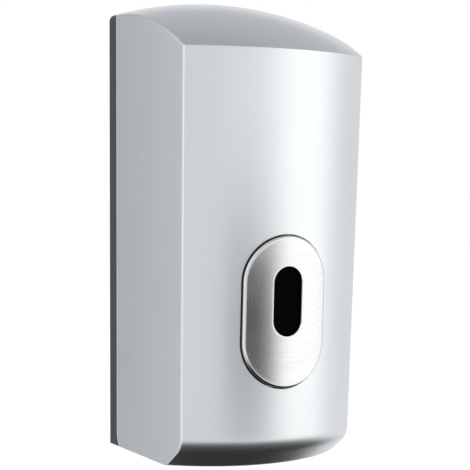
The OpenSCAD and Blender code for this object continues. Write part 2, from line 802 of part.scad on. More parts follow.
module plate_springs() color("silver") place() both_sides()
    translate([spring_x, guide_front - 0.05, plate_z]) rotate([90, 0, 0])
        coil(spring_r, spring_wire_r, guide_front - spring_seat - run_gap - 0.05, 7);

// ---- Push plate ----

// Outline of the plate grown by grow, as points in the XZ plane
outline_steps = 24;
function oval_points(grow) =
    let (r = plate_w / 2 + grow, rise = (plate_h - plate_w) / 2)
    [for (s = [1, -1], i = [0:outline_steps])
        let (a = 90 - 90 * s + 180 * i / outline_steps)
        [r * cos(a), plate_z + s * rise + r * sin(a)]];

// The same outline flat at y, and wrapped onto the front surface moved in by inset
function flat_ring(grow, y) = [for (p = oval_points(grow)) [p.x, y, p.y]];
function wrapped_ring(grow, inset) = [for (p = oval_points(grow)) [p.x, face_y(p.x, p.y, inset), p.y]];

// Prism of the plate's outline whose front edge is rounded off as it nears the plate's face
edge_turns = 5;
module plate_blank() {
    r = plate_edge_r;
    last_a = 90 * (edge_turns - 1) / edge_turns;
    loft([
        flat_ring(0, flange_back),
        for (i = [0:edge_turns - 1])
            let (a = 90 * i / edge_turns)
            wrapped_ring(-r * (1 - cos(a)), r * (1 - sin(a)) - plate_proud),
        flat_ring(-r * (1 - cos(last_a)), -body_d - 10)]);
}

module push_plate() color([0.82, 0.83, 0.85]) place() difference() {
    union() {
        difference() {
            intersection() {
                shaft(-plate_proud, 0, 20, 200);
                plate_blank();
            }
            intersection() {
                shaft(plate_t - plate_proud, -10, 20, 200);
                slab_y(-body_d - 10, flange_back + 1) plate_oval(-skirt_t);
            }
        }
        difference() {
            slab_y(flange_front, flange_back) plate_oval(flange_lip);
            slab_y(flange_front - 1, flange_back + 1) plate_oval(-skirt_t);
        }
        // Boss that presses the plunger, and a web that carries the end of the boss
        rod_y(head_r, face_inside - 0.5, boss_end, 0, pump_z);
        both_sides() {
            rod_y(spring_pad_r, face_inside + 0.5, spring_seat, spring_x, plate_z);
            rod_y(spring_post_r, face_inside + 0.5, spring_seat + 6, spring_x, plate_z);
        }
    }
    slab_y(-body_d - 10, flange_back) translate([0, slot_z]) stadium(slot_w, slot_h);
    // Flat seat for the sight window
    slab_y(face_inside, face_inside + 3) translate([0, slot_z])
        stadium(slot_w + window_lap + 0.2, slot_h + window_lap + 0.2);
}

module sight_window() color([0.05, 0.05, 0.06]) place()
    slab_y(face_inside + 0.05, face_inside + 0.05 + window_t)
        translate([0, slot_z]) stadium(slot_w + window_lap, slot_h + window_lap);

module window_retainer() color([0.28, 0.30, 0.32]) place() difference() {
    slab_y(face_inside + 0.05 + window_t, face_inside + window_t + 2)
        translate([0, slot_z]) stadium(slot_w + 4.4, slot_h + 4.4);
    slab_y(face_inside, face_inside + window_t + 3)
        translate([0, slot_z]) stadium(slot_w - 1.6, slot_h - 1.6);
}

back_plate();
hinge_pins();
latch_tongue();
latch_screws();
tank();
tank_deck();
flap_pin();
union_nut();
neck_gasket();
valve_seat();
inlet_valve();
pump_body();
pump_end_cap();
return_spring();
outlet_valve();
nozzle();
nozzle_nut();
plunger();
piston_seals();
front_cover();
guide_frame();
guide_screws();
plate_springs();
push_plate();
sight_window();
window_retainer();
filler_flap();
flap_seal();
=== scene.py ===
# %% [markdown]
# # A wall mounted soap dispenser, dressed for its picture
#
# The engineering model comes first: it fixes every size, every joint and where each piece sits.
# This lesson loads it as a frame that never changes, and puts finished surfaces round it.
# Each step says what the piece is on the real dispenser, then builds it.

# %% Load the frame
import json
import math
import bpy
import bmesh
import numpy as np
from mathutils import Matrix, Vector


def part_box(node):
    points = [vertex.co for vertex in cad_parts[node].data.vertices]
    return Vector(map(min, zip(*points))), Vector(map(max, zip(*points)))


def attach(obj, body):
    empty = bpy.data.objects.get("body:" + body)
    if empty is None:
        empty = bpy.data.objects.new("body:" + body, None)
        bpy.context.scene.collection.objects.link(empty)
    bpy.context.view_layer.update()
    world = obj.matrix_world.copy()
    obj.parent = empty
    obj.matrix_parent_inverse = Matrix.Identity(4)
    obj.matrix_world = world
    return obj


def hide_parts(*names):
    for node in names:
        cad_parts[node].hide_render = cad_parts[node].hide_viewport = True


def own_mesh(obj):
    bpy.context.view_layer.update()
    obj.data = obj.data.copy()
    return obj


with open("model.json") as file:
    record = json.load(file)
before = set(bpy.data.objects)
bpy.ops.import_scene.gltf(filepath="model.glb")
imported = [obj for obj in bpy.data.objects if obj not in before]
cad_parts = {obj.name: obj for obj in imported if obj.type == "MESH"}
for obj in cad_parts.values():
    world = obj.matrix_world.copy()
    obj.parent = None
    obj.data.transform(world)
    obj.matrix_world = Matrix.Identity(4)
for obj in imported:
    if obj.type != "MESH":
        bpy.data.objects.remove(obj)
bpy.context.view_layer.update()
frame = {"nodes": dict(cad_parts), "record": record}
nodes = frame["nodes"]

# %% [markdown]
# ## The camera
# Everything is judged through one lens, so it comes before any surface.
# It is a long lens that stands a little to the left of the dispenser and about level with its upper half.
# A camera looks along its own -Z axis, so its matrix is built from three unit vectors.

# %% Camera
AZIMUTH, PITCH, ROLL = (math.radians(a) for a in (-29.16, 2.324, 0.9375))
ahead = Vector((-math.sin(AZIMUTH) * math.cos(PITCH), math.cos(AZIMUTH) * math.cos(PITCH), -math.sin(PITCH)))
level = Vector((math.cos(AZIMUTH), math.sin(AZIMUTH), 0.0))
upright = level.cross(ahead)
right = math.cos(ROLL) * level + math.sin(ROLL) * upright
upward = -math.sin(ROLL) * level + math.cos(ROLL) * upright
CAMERA_PLACE = (-0.4216, -0.8102, 0.0360)
camera_data = bpy.data.cameras.new("studio_camera")
camera_data.lens = 110.3
camera_data.sensor_width = 36.0
camera_data.clip_end = 20.0
camera = bpy.data.objects.new("studio_camera", camera_data)
turn = Matrix((right, upward, -ahead)).transposed().to_4x4()
camera.matrix_world = Matrix.Translation(CAMERA_PLACE) @ turn
bpy.context.scene.collection.objects.link(camera)
bpy.context.scene.camera = camera
bpy.context.scene.view_settings.view_transform = "Standard"
print("camera:", round(camera_data.lens, 1), "mm lens,", round(Vector(CAMERA_PLACE).length, 3),
      "m from the middle of the wall screws")

# %% [markdown]
# ## Sizes shared with the engineering model
# The cover is a tapered box with a bowed front, a rolled toe and a domed crown.
# Heights are counted in millimetres from the cover's bottom edge, as a designer would draw it,
# and one helper turns them into metres in the frame, whose origin is the middle of the wall screws.

# %% Named sizes
MM = 0.001
BODY_H, BODY_W, BODY_D, FRONT_BOW = 272.0, 120.0, 117.6, 17.6
SIDE_DRAFT, FRONT_DRAFT = math.radians(0.92), math.radians(0.79)
BROW_DROP, WALL, EDGE_R = 34.0, 2.5, 2.0
TOE_R, TOE_ANGLE, TOE_H, TIP_R = 12.0, math.radians(48.0), 13.0, 6.0
TOE_START = TOE_H + TOE_R * math.tan(TOE_ANGLE / 2)
HINGE_Y, HINGE_Z, COVER_BACK = -24.5, 9.0, 9.9
SWEEP_R = -HINGE_Y - COVER_BACK
MOUNT_Z = 130.0
PLATE_W, PLATE_H, PLATE_Z, PLATE_PROUD = 53.0, 86.4, 90.0, 2.5
PLATE_PLAY, COLLAR_T = 0.6, 2.0
SLOT_W, SLOT_H, SLOT_Z = 18.3, 39.5, 96.0
NOZZLE_Y, NOZZLE_HOLE_R = -50.0, 10.0


def half_w(z):
    return BODY_W / 2 - (BODY_H - z) * math.tan(SIDE_DRAFT)


def front_d(z):
    return BODY_D - (BODY_H - z) * math.tan(FRONT_DRAFT)


def bow_r(z):
    return (half_w(z) ** 2 + FRONT_BOW ** 2) / (2 * FRONT_BOW)


def bow_y(z):
    return bow_r(z) - front_d(z)


BROW_Z = BODY_H - BROW_DROP
DOME_R = (bow_r(BROW_Z) ** 2 + BROW_DROP ** 2) / (2 * BROW_DROP)
DOME_Y, DOME_Z = bow_y(BROW_Z), BODY_H - DOME_R


def front_y(x, z, proud=0.0):
    """Depth of the bowed front at (x, z), standing proud of the cover by that much."""
    r = bow_r(z) + proud
    return bow_y(z) - math.sqrt(r * r - x * x)


def to_frame(points):
    """Millimetres from the bottom edge become metres in the frame."""
    p = np.asarray(points, float).reshape(-1, 3).copy()
    p[:, 2] -= MOUNT_Z
    return p * MM


print("bow radius", round(bow_r(BROW_Z), 1), "mm, dome radius", round(DOME_R, 1), "mm")

# %% [markdown]
# ## Turning points and faces into a piece
# A piece is a mesh whose place is in its own points, so its object stays at the origin.
# Points that were written twice are merged, faces are turned outwards,
# and edges sharper than a set angle stay crisp while the rest is shaded smooth.

# %% Mesh helpers
def finish_mesh(mesh, sharp=32.0, merge=2e-6):
    """Merges points written twice, turns faces outwards and marks edges sharper than that many degrees."""
    work = bmesh.new()
    work.from_mesh(mesh)
    bmesh.ops.remove_doubles(work, verts=work.verts, dist=merge)
    bmesh.ops.dissolve_degenerate(work, edges=work.edges, dist=1e-7)
    bmesh.ops.recalc_face_normals(work, faces=work.faces)
    for face in work.faces:
        face.smooth = True
    work.to_mesh(mesh)
    work.free()
    mesh.set_sharp_from_angle(angle=math.radians(sharp))
    mesh.update()


def make_piece(name, points, faces, sharp=32.0):
    """An object at the origin from points in millimetres and faces."""
    mesh = bpy.data.meshes.new(name)
    mesh.from_pydata(to_frame(points).tolist(), [], faces)
    finish_mesh(mesh, sharp)
    piece = bpy.data.objects.new(name, mesh)
    bpy.context.scene.collection.objects.link(piece)
    return piece


def open_edges(piece):
    """How many edges don't have exactly two faces: none on a closed piece."""
    work = bmesh.new()
    work.from_mesh(piece.data)
    count = sum(1 for e in work.edges if len(e.link_faces) != 2)
    work.free()
    return count


def join_faces(lists):
    """Stacks several (points, faces) pairs into one."""
    points, faces, start = [], [], 0
    for part_points, part_faces in lists:
        points.extend([tuple(p) for p in part_points])
        faces.extend([tuple(i + start for i in f) for f in part_faces])
        start += len(part_points)
    return points, faces


print("helpers: finish_mesh, make_piece, open_edges, join_faces")

# %% [markdown]
# ## Turned shapes
# Bosses, pins, nozzles and nuts are all turned shapes: a profile drawn as (radius, height) pairs
# and carried round an axis. One helper makes them all, closed, along X, Y or Z.

# %% Lathe helper
def turned(profile, centre, axis="z", steps=40):
    """A closed (points, faces) pair: profile is a loop of (radius, distance along the axis)."""
    points, faces, rings = [], [], []
    for r, h in profile:
        if r < 1e-6:
            rings.append([len(points)])
            points.append((0.0, 0.0, h))
        else:
            rings.append([len(points) + k for k in range(steps)])
            for k in range(steps):
                a = 2 * math.pi * k / steps
                points.append((r * math.cos(a), r * math.sin(a), h))
    for low, high in zip(rings, rings[1:] + rings[:1]):
        for k in range(steps):
            m = (k + 1) % steps
            if len(low) == 1 and len(high) == 1:
                continue
            if len(low) == 1:
                faces.append((low[0], high[m], high[k]))
            elif len(high) == 1:
                faces.append((low[k], low[m], high[0]))
            else:
                faces.append((low[k], low[m], high[m], high[k]))
    turned_points = []
    for x, y, z in points:
        p = {"z": (x, y, z), "y": (x, z, -y), "x": (z, x, y)}[axis]
        turned_points.append((p[0] + centre[0], p[1] + centre[1], p[2] + centre[2]))
    return turned_points, faces


def boss_profile(r, start, end, bore=0.0, depth=0.0, soft=0.4):
    """Profile of a round boss from start to end, with a softened rim and a blind bore in its end."""
    s = 1 if end > start else -1
    loop = [(0, start), (r, start), (r, end - s * soft)]
    loop += [(r - soft * (1 - math.cos(t)), end - s * soft * (1 - math.sin(t))) for t in (0.5, 1.05)]
    loop += [(r - soft, end)]
    if bore > 0:
        loop += [(bore + 0.25, end), (bore, end - s * 0.25), (bore, end - s * depth), (0, end - s * depth)]
    else:
        loop += [(0, end)]
    return loop


print("a turned boss has", len(boss_profile(4, 0, 8, 1.5, 5)), "profile points")

# %% [markdown]
# ## The cover's outer and inner skins
# The real cover is one moulding with an even wall, so both of its skins follow the same rule:
# level sections from the toe upward, each running from the back left round the front to the back right.
# Where the walls meet the domed crown, each column of points rolls over on a small radius
# that is worked out in its own upright plane, tight along the front edge and softer along the sides.
# Both skins have the same pattern of points, so the rim between them closes by itself.

# %% Columns of one level section
SIDE_STEPS, EDGE_STEPS, BOW_STEPS = 22, 8, 96


def back_depth(z):
    """How far the cover's rear edge is from the wall; its lowest corner is rounded about the hinge."""
    if z >= HINGE_Z:
        return COVER_BACK
    return -HINGE_Y - math.sqrt(SWEEP_R ** 2 - (z - HINGE_Z) ** 2)


def section(z, inset, setback=0.0):
    """Points (x, y) and outward directions (x, y) of a level section."""
    w, r, yc = half_w(z) - inset, bow_r(z) - inset - setback, bow_y(z)
    e = max(EDGE_R - inset, 0.5)
    cx, cy = w - e, yc - math.sqrt((r - e) ** 2 - (w - e) ** 2)
    turn_end = math.asin((w - e) / (r - e))
    rear = -back_depth(z)
    left = [((-w, rear + (cy - rear) * i / SIDE_STEPS), (-1.0, 0.0)) for i in range(SIDE_STEPS)]
    for i in range(EDGE_STEPS + 1):
        a = math.pi / 2 - (math.pi / 2 - turn_end) * i / EDGE_STEPS
        left.append(((-cx - e * math.sin(a), cy - e * math.cos(a)), (-math.sin(a), -math.cos(a))))
    front = []
    for i in range(1, BOW_STEPS):
        a = turn_end * (2 * i / BOW_STEPS - 1)
        front.append(((r * math.sin(a), yc - r * math.cos(a)), (math.sin(a), -math.cos(a))))
    mirrored = [((-p[0], p[1]), (-n[0], n[1])) for p, n in reversed(left)]
    return left + front + mirrored


COLUMNS = len(section(100, 0))
LEFT_END = SIDE_STEPS + EDGE_STEPS // 2
print("columns in a section:", COLUMNS)

# %% [markdown]
# ## Where the walls meet the crown
# The mould has a small radius where the walls meet the crown. A bevel could make it, but that edge curves
# every way at once, and a bevel would break the even rows that the gloss runs over.
# So each column of points works out its own roll: the small circle that touches both wall and dome.

# %% Rolling the wall over into the crown
BROW_ROLL, SIDE_ROLL = 0.7, 1.7
ROLL_STEPS = 6


def roll_over(column, inset):
    """Height where a column leaves its wall, and the points of its roll onto the dome."""
    radius = DOME_R - inset
    z = BROW_Z
    for _ in range(30):
        (x, y), n = section(z, inset)[column]
        z = DOME_Z + math.sqrt(radius ** 2 - x ** 2 - (y - DOME_Y) ** 2)
    (x, y), n = section(z, inset)[column]
    (x2, y2), _ = section(z + 1.0, inset)[column]
    lean = math.atan((x2 - x) * n[0] + (y2 - y) * n[1])
    along = n[0] * x + n[1] * (y - DOME_Y)
    rho = math.sqrt(radius ** 2 - (x ** 2 + (y - DOME_Y) ** 2 - along ** 2))
    side_share = min(1.0, max(0.0, (abs(n[0]) - 0.56) / 0.44))
    r = BROW_ROLL + (SIDE_ROLL - BROW_ROLL) * side_share
    r = r if inset == 0 else 0.3
    inward, rise = (math.cos(lean), math.sin(lean)), (-math.sin(lean), math.cos(lean))
    # In this plane h runs inward from the wall and the dome is a circle about (along, DOME_Z)
    base = (r * inward[0] - along, z + r * inward[1] - DOME_Z)
    b = base[0] * rise[0] + base[1] * rise[1]
    c = base[0] ** 2 + base[1] ** 2 - (rho - r) ** 2
    t = -b + math.sqrt(b * b - c)
    mid = (base[0] + t * rise[0] + along, base[1] + t * rise[1] + DOME_Z)
    leave = z + t * rise[1]
    start = math.atan2(-inward[1], -inward[0])
    end = math.atan2(mid[1] - DOME_Z, mid[0] - along)
    start += 2 * math.pi if start < 0 else 0
    (x, y), n = section(leave, inset)[column]
    # Shift the roll so that it starts exactly on the wall's own point
    h0 = mid[0] + r * math.cos(start)
    roll = []
    for i in range(1, ROLL_STEPS + 1):
        a = start + (end - start) * i / ROLL_STEPS
        h = mid[0] + r * math.cos(a) - h0
        roll.append((x - n[0] * h, y - n[1] * h, mid[1] + r * math.sin(a)))
    last = roll[-1]
    dome = DOME_Z + math.sqrt(radius ** 2 - last[0] ** 2 - (last[1] - DOME_Y) ** 2)
    roll[-1] = (last[0], last[1], dome)
    return leave, roll


print("front column leaves its wall at", round(roll_over(COLUMNS // 2, 0)[0], 2), "mm, rear side column at",
      round(roll_over(0, 0)[0], 2), "mm")

# %% [markdown]
# ## Toe, walls and roll as one grid
# Seen from the side, the toe is a small tip, a slant and a bend into the front.
# A loft through a few drawn sections would sag between them, so every row is worked out from the same rules.
# The rows climb the toe, then the upright walls, then share out what is left below the roll.

# %% Toe in profile
TIP_STEPS, SLANT_STEPS, BEND_STEPS = 6, 8, 12
TOE_ROWS = TIP_STEPS + SLANT_STEPS + BEND_STEPS


def toe_profile(inset, floor_z):
    """(height, setback) pairs from the underside up: a small tip, a slant, then a bend into the front."""
    r, tip = TOE_R - inset, max(TIP_R - inset, 0.5)
    mid, tip_z = r - tip, floor_z + tip
    slant_rise = TOE_START - mid * math.sin(TOE_ANGLE) - tip_z
    tip_d = r - mid * math.cos(TOE_ANGLE) + slant_rise * math.tan(TOE_ANGLE)
    turns = [TOE_ANGLE + (math.pi / 2 - TOE_ANGLE) * i / TIP_STEPS for i in range(TIP_STEPS, -1, -1)]
    profile = [(tip_z - tip * math.sin(a), tip_d - tip * math.cos(a)) for a in turns]
    low = profile[-1]
    high = (TOE_START - r * math.sin(TOE_ANGLE), r * (1 - math.cos(TOE_ANGLE)))
    for i in range(1, SLANT_STEPS):
        t = i / SLANT_STEPS
        profile.append((low[0] + (high[0] - low[0]) * t, low[1] + (high[1] - low[1]) * t))
    turns = [TOE_ANGLE * i / BEND_STEPS for i in range(BEND_STEPS, -1, -1)]
    return profile + [(TOE_START - r * math.sin(a), r * (1 - math.cos(a))) for a in turns]


print("toe ends", round(TOE_START, 1), "mm up, rows:", len(toe_profile(0.0, 0.0)))

# %% Rows of the walls
LEVEL_STEPS, UPPER_STEPS, LEVEL_TOP = 84, 16, 196.0


def wall_rows(inset, floor_z):
    """Grid of points, row by row from the floor's edge up to the end of the roll."""
    rows = []
    for z, setback in toe_profile(inset, floor_z):
        rows.append([(x, y, z) for (x, y), _ in section(z, inset, setback)])
    for i in range(1, LEVEL_STEPS + 1):
        z = TOE_START + (LEVEL_TOP - TOE_START) * i / LEVEL_STEPS
        rows.append([(x, y, z) for (x, y), _ in section(z, inset)])
    ends = [roll_over(c, inset) for c in range(COLUMNS)]
    for i in range(1, UPPER_STEPS + 1):
        row = []
        for c in range(COLUMNS):
            z = LEVEL_TOP + (ends[c][0] - LEVEL_TOP) * i / UPPER_STEPS
            x, y = section(z, inset)[c][0]
            row.append((x, y, z))
        rows.append(row)
    for i in range(ROLL_STEPS):
        rows.append([ends[c][1][i] for c in range(COLUMNS)])
    return np.array(rows)


outer_wall, inner_wall = wall_rows(0.0, 0.0), wall_rows(WALL, WALL)
print("wall rows:", len(outer_wall), "points in both skins:", 2 * outer_wall[..., 0].size)

# %% [markdown]
# ## Filling a closed outline
# The crown and the floor each close an outline whose rear side is straight.
# A fan of triangles would meet in a point and pinch the gloss, so the outline's four sides are blended
# into a grid of quads, and each point of it is lifted onto the surface.

# %% Grids of the crown and the floor
def fill_between(edge, rear_y, height):
    """Grid that fills a closed outline: its left, front and right come from edge, its rear is straight.
    height(x, y) lifts every point onto the surface."""
    left, front = edge[:LEFT_END + 1], edge[LEFT_END:COLUMNS - LEFT_END]
    far = edge[COLUMNS - LEFT_END - 1:][::-1]
    across = (front[:, 0] - front[0, 0]) / (front[-1, 0] - front[0, 0])
    rear = np.stack([left[0, 0] + (far[0, 0] - left[0, 0]) * across, np.full(len(front), rear_y)], axis=1)
    grid = np.zeros((len(left), len(front), 3))
    for i in range(len(left)):
        v = i / (len(left) - 1)
        for j in range(len(front)):
            u = across[j]
            ends = (1 - u) * left[i, :2] + u * far[i, :2] + (1 - v) * rear[j] + v * front[j, :2]
            corners = ((1 - u) * (1 - v) * left[0, :2] + u * (1 - v) * far[0, :2]
                       + (1 - u) * v * left[-1, :2] + u * v * far[-1, :2])
            x, y = ends - corners
            grid[i, j] = (x, y, height(x, y))
    return grid


def dome_height(x, y, skin=0):
    return DOME_Z + math.sqrt((DOME_R - WALL * skin) ** 2 - x ** 2 - (y - DOME_Y) ** 2)


crown_outer = fill_between(outer_wall[-1], -COVER_BACK, dome_height)
crown_inner = fill_between(inner_wall[-1], -COVER_BACK, lambda x, y: dome_height(x, y, 1))
floor_outer = fill_between(outer_wall[0], -back_depth(0.0), lambda x, y: 0.0)
floor_inner = fill_between(inner_wall[0], -back_depth(WALL), lambda x, y: WALL)
print("crown grid", crown_outer.shape[:2], "floor grid", floor_outer.shape[:2])

# %% [markdown]
# ## Openings in the skins
# The push plate's oval, the nozzle hole and the key hole are all cut without a boolean.
# A block of the grid is left out, and rings of faces run from the block's edge to the hole's edge,
# with every new point laid on the same curved surface. The gloss then flows past the hole undisturbed.

# %% Skins with matching points
class Skins:
    """Two skins with the same pattern: each point is stored with its partner on the other skin."""

    def __init__(self):
        self.outer, self.inner, self.faces, self.known = [], [], [], {}

    def point(self, outer, inner):
        """Stores a point with its partner, once, and gives its number."""
        key = tuple(round(float(c), 5) for c in outer)
        if key not in self.known:
            self.known[key] = len(self.outer)
            self.outer.append(tuple(float(c) for c in outer))
            self.inner.append(tuple(float(c) for c in inner))
        return self.known[key]

    def grid(self, outer, inner, skip=()):
        """Faces for a grid of points, leaving out the blocks (i0, i1, j0, j1) in skip."""
        rows, columns = outer.shape[:2]
        index = [[self.point(outer[i, j], inner[i, j]) for j in range(columns)] for i in range(rows)]
        for i in range(rows - 1):
            for j in range(columns - 1):
                if not any(a <= i < b and c <= j < d for a, b, c, d in skip):
                    self.faces.append((index[i][j], index[i][j + 1], index[i + 1][j + 1], index[i + 1][j]))
        return index

    def ring_patch(self, index, block, plane, hole, lift, rings=7):
        """Fills block = (i0, i1, j0, j1) round a hole. plane gives the two drawing axes, hole(angle, skin) a
        point of the hole's edge and lift(a, b, skin) a point of the surface. Returns the hole's edge."""
        i0, i1, j0, j1 = block
        cells = ([(i0, j) for j in range(j0, j1)] + [(i, j1) for i in range(i0, i1)]
                 + [(i1, j) for j in range(j1, j0, -1)] + [(i, j0) for i in range(i1, i0, -1)])
        edge = [index[i][j] for i, j in cells]
        loops = [edge]
        middle = hole(None, 0)
        for k in range(1, rings + 1):
            t = (k / rings) ** 0.85
            loop = []
            for e in edge:
                pair = []
                for skin, store in enumerate((self.outer, self.inner)):
                    a, b = (self.outer[e][plane[0]], self.outer[e][plane[1]])
                    angle = math.atan2(b - middle[1], a - middle[0])
                    a, b = (store[e][plane[0]], store[e][plane[1]])
                    ha, hb = hole(angle, skin)
                    pair.append(lift(a + (ha - a) * t, b + (hb - b) * t, skin))
                loop.append(self.point(*pair))
            loops.append(loop)
        n = len(edge)
        for low, high in zip(loops, loops[1:]):
            for k in range(n):
                m = (k + 1) % n
                self.faces.append((low[k], low[m], high[m], high[k]))
        return loops[-1]


skins = Skins()
print("empty skins:", len(skins.outer), "points")

# %% [markdown]
# ## The oval
# The opening, the plate and its slot are all stadiums: two half circles joined by straight sides.
# The rings round a hole ask for the outline's point in a given direction, so one helper answers that,
# and it gives the outward direction there too, by which the same outline can be grown.

# %% A stadium's outline
def stadium_point(angle, w, h, grow=0.0):
    """Point of an upright stadium's outline in that direction from its middle, and its outward direction."""
    rise, r = (h - w) / 2, w / 2
    dx, dz = math.cos(angle), math.sin(angle)
    if abs(dx) > 1e-9 and abs(r / abs(dx) * dz) <= rise:
        t, nx, nz = r / abs(dx), math.copysign(1.0, dx), 0.0
    else:
        c = math.copysign(rise, dz)
        t = dz * c + math.sqrt((dz * c) ** 2 - rise ** 2 + r ** 2)
        nx, nz = t * dx / r, (t * dz - c) / r
    return t * dx + nx * grow, t * dz + nz * grow, nx, nz


print("a stadium's side point:", [round(v, 2) for v in stadium_point(0.0, PLATE_W, PLATE_H)])

# %% Wall skins with the plate's opening
LIP = 0.45
BLOCK_LOW, BLOCK_HIGH, BLOCK_SHARE = 40.0, 140.5, 0.21


def level_row(z):
    """The row of the wall nearest to a height on the upright front."""
    return TOE_ROWS + round((z - TOE_START) / (LEVEL_TOP - TOE_START) * LEVEL_STEPS)


lo_row, hi_row = level_row(BLOCK_LOW), level_row(BLOCK_HIGH)
front_start = SIDE_STEPS + EDGE_STEPS
lo_col = front_start + round(BLOCK_SHARE * BOW_STEPS)
hi_col = front_start + round((1 - BLOCK_SHARE) * BOW_STEPS)
wall_index = skins.grid(outer_wall, inner_wall, skip=[(lo_row, hi_row, lo_col, hi_col)])


def oval_hole(angle, skin):
    if angle is None:
        return 0.0, PLATE_Z
    x, z, _, _ = stadium_point(angle, PLATE_W, PLATE_H, PLATE_PLAY + (LIP if skin == 0 else COLLAR_T))
    return x, PLATE_Z + z


oval_edge = skins.ring_patch(wall_index, (lo_row, hi_row, lo_col, hi_col), (0, 2), oval_hole,
                             lambda x, z, skin: (x, front_y(x, z, -WALL * skin), z), rings=9)
print("points round the oval:", len(oval_edge), "points per skin so far:", len(skins.outer))

# %% [markdown]
# ## Crown and floor
# The crown and the floor close the walls at the top and the bottom, and each has its own openings.
# A key goes through the hole in the crown to free the latch; the nozzle looks out of the hole in the floor.
# Two notches at the floor's rear let the hinge lugs of the back plate through as the cover swings.

# %% Key hole, nozzle hole and hinge notches
KEY_Y, KEY_R, KEY_REACH = -18.0, 2.5, 6.0
NOTCH_IN, BOSS_X = 41.877, 48.877
NOTCH_OUT = BOSS_X - 0.05
NOTCH_Y = HINGE_Y - 7.0
NOZZLE_REACH = 15.0


def round_hole(y, r):
    def hole(angle, skin):
        return (0.0, y) if angle is None else (r * math.cos(angle), y + r * math.sin(angle))
    return hole


def block_about(grid, y, reach):
    """Rows and columns of a grid that enclose a square about (0, y)."""
    mid = grid.shape[1] // 2
    rows = [i for i in range(grid.shape[0]) if abs(grid[i, mid, 1] - y) < reach]
    columns = [j for j in range(grid.shape[1]) if abs(grid[rows[0], j, 0]) < reach]
    return max(rows[0] - 1, 0), rows[-1] + 1, columns[0], columns[-1]


key_block = block_about(crown_outer, KEY_Y, KEY_REACH)
crown_index = skins.grid(crown_outer, crown_inner, skip=[key_block])
skins.ring_patch(crown_index, key_block, (0, 1), round_hole(KEY_Y, KEY_R),
                 lambda x, y, skin: (x, y, dome_height(x, y, skin)), rings=4)


def spread_outside(row, held, x):
    """Sets the held column of a row to x and spreads the columns between it and the side wall."""
    rim = 0 if x < 0 else len(row) - 1
    old, edge = row[held, 0], row[rim, 0]
    span = slice(min(held, rim), max(held, rim) + 1)
    row[span, 0] = x + (row[span, 0] - old) * (edge - x) / (edge - old)


notch_row = int(np.argmin(abs(floor_outer[:, floor_outer.shape[1] // 2, 1] - NOTCH_Y)))
notches = []
for side in (-1, 1):
    ends = sorted(int(np.argmin(abs(floor_outer[0, :, 0] - side * x))) for x in (NOTCH_IN, NOTCH_OUT))
    notches.append((0, notch_row, ends[0], ends[1]))
    for grid in (floor_outer, floor_inner):
        grid[notch_row, ends[0]:ends[1] + 1, 1] = NOTCH_Y
        far, near = ends if side < 0 else reversed(ends)
        for row in grid[:notch_row + 1]:
            spread_outside(row, far, side * NOTCH_OUT)
            row[near, 0] = side * NOTCH_IN
nozzle_block = block_about(floor_outer, NOZZLE_Y, NOZZLE_REACH)
floor_index = skins.grid(floor_outer, floor_inner, skip=[nozzle_block] + notches)
skins.ring_patch(floor_index, nozzle_block, (0, 1), round_hole(NOZZLE_Y, NOZZLE_HOLE_R),
                 lambda x, y, skin: (x, y, WALL * skin), rings=4)
print("points per skin:", len(skins.outer), "faces per skin:", len(skins.faces))

# %% [markdown]
# ## Closing the moulding
# Wherever a face of the outer skin has no neighbour, a strip joins it to its partner on the inner skin.
# That makes the rim along the parting line and the walls of the small holes in one go.
# The plate's oval is different: its edge rolls inward on a small lip, then a collar runs back behind it,
# so that a fingertip never meets a sharp edge and the push plate is guided.

# %% Rim, lip and collar
count = len(skins.outer)
cover_points = list(skins.outer) + list(skins.inner)
cover_faces = list(skins.faces) + [tuple(i + count for i in reversed(f)) for f in skins.faces]
neighbours = {}
for f in skins.faces:
    for a, b in zip(f, f[1:] + f[:1]):
        edge = (min(a, b), max(a, b))
        neighbours[edge] = neighbours.get(edge, 0) + 1
oval_set = set(oval_edge)
for (a, b), faces_there in neighbours.items():
    if faces_there == 1 and not (a in oval_set and b in oval_set):
        cover_faces.append((b, a, a + count, b + count))

PLATE_FRONT = -front_d(PLATE_Z)
COLLAR_BACK = PLATE_FRONT + 9.0
FILLET = 0.3


def oval_loop(grow, depth, behind=0.0):
    """The plate's outline grown by grow: wrapped on the front and set behind it, or flat at depth."""
    loop = []
    for e in oval_edge:
        x, _, z = skins.outer[e]
        x, z, _, _ = stadium_point(math.atan2(z - PLATE_Z, x), PLATE_W, PLATE_H, grow)
        z += PLATE_Z
        loop.append((x, front_y(x, z) + behind if depth is None else depth, z))
    return loop


collar_loops = []
for t in (0.35, 0.75, 1.15, math.pi / 2):
    collar_loops.append(oval_loop(PLATE_PLAY + LIP * (1 - math.sin(t)), None, LIP * (1 - math.cos(t))))
for grow, depth in ((0.0, COLLAR_BACK - FILLET), (FILLET, COLLAR_BACK),
                    (COLLAR_T - FILLET, COLLAR_BACK), (COLLAR_T, COLLAR_BACK - FILLET)):
    collar_loops.append(oval_loop(PLATE_PLAY + grow, depth))
ring_ids = [list(oval_edge)]
for loop in collar_loops:
    ring_ids.append(list(range(len(cover_points), len(cover_points) + len(loop))))
    cover_points.extend(loop)
ring_ids.append([e + count for e in oval_edge])
for low, high in zip(ring_ids, ring_ids[1:]):
    for k in range(len(low)):
        m = (k + 1) % len(low)
        cover_faces.append((low[k], low[m], high[m], high[k]))
print("collar rings:", len(collar_loops), "of", len(oval_edge), "points")

# %% [markdown]
# ## Bosses inside the cover
# They show as soon as the cover swings down: four screw bosses beside the push plate
# and two hinge bosses low on the side walls. A boolean could merge them with the cover,
# but each is left a closed shape whose root is sunk in the wall, so that no crack shows where they meet.

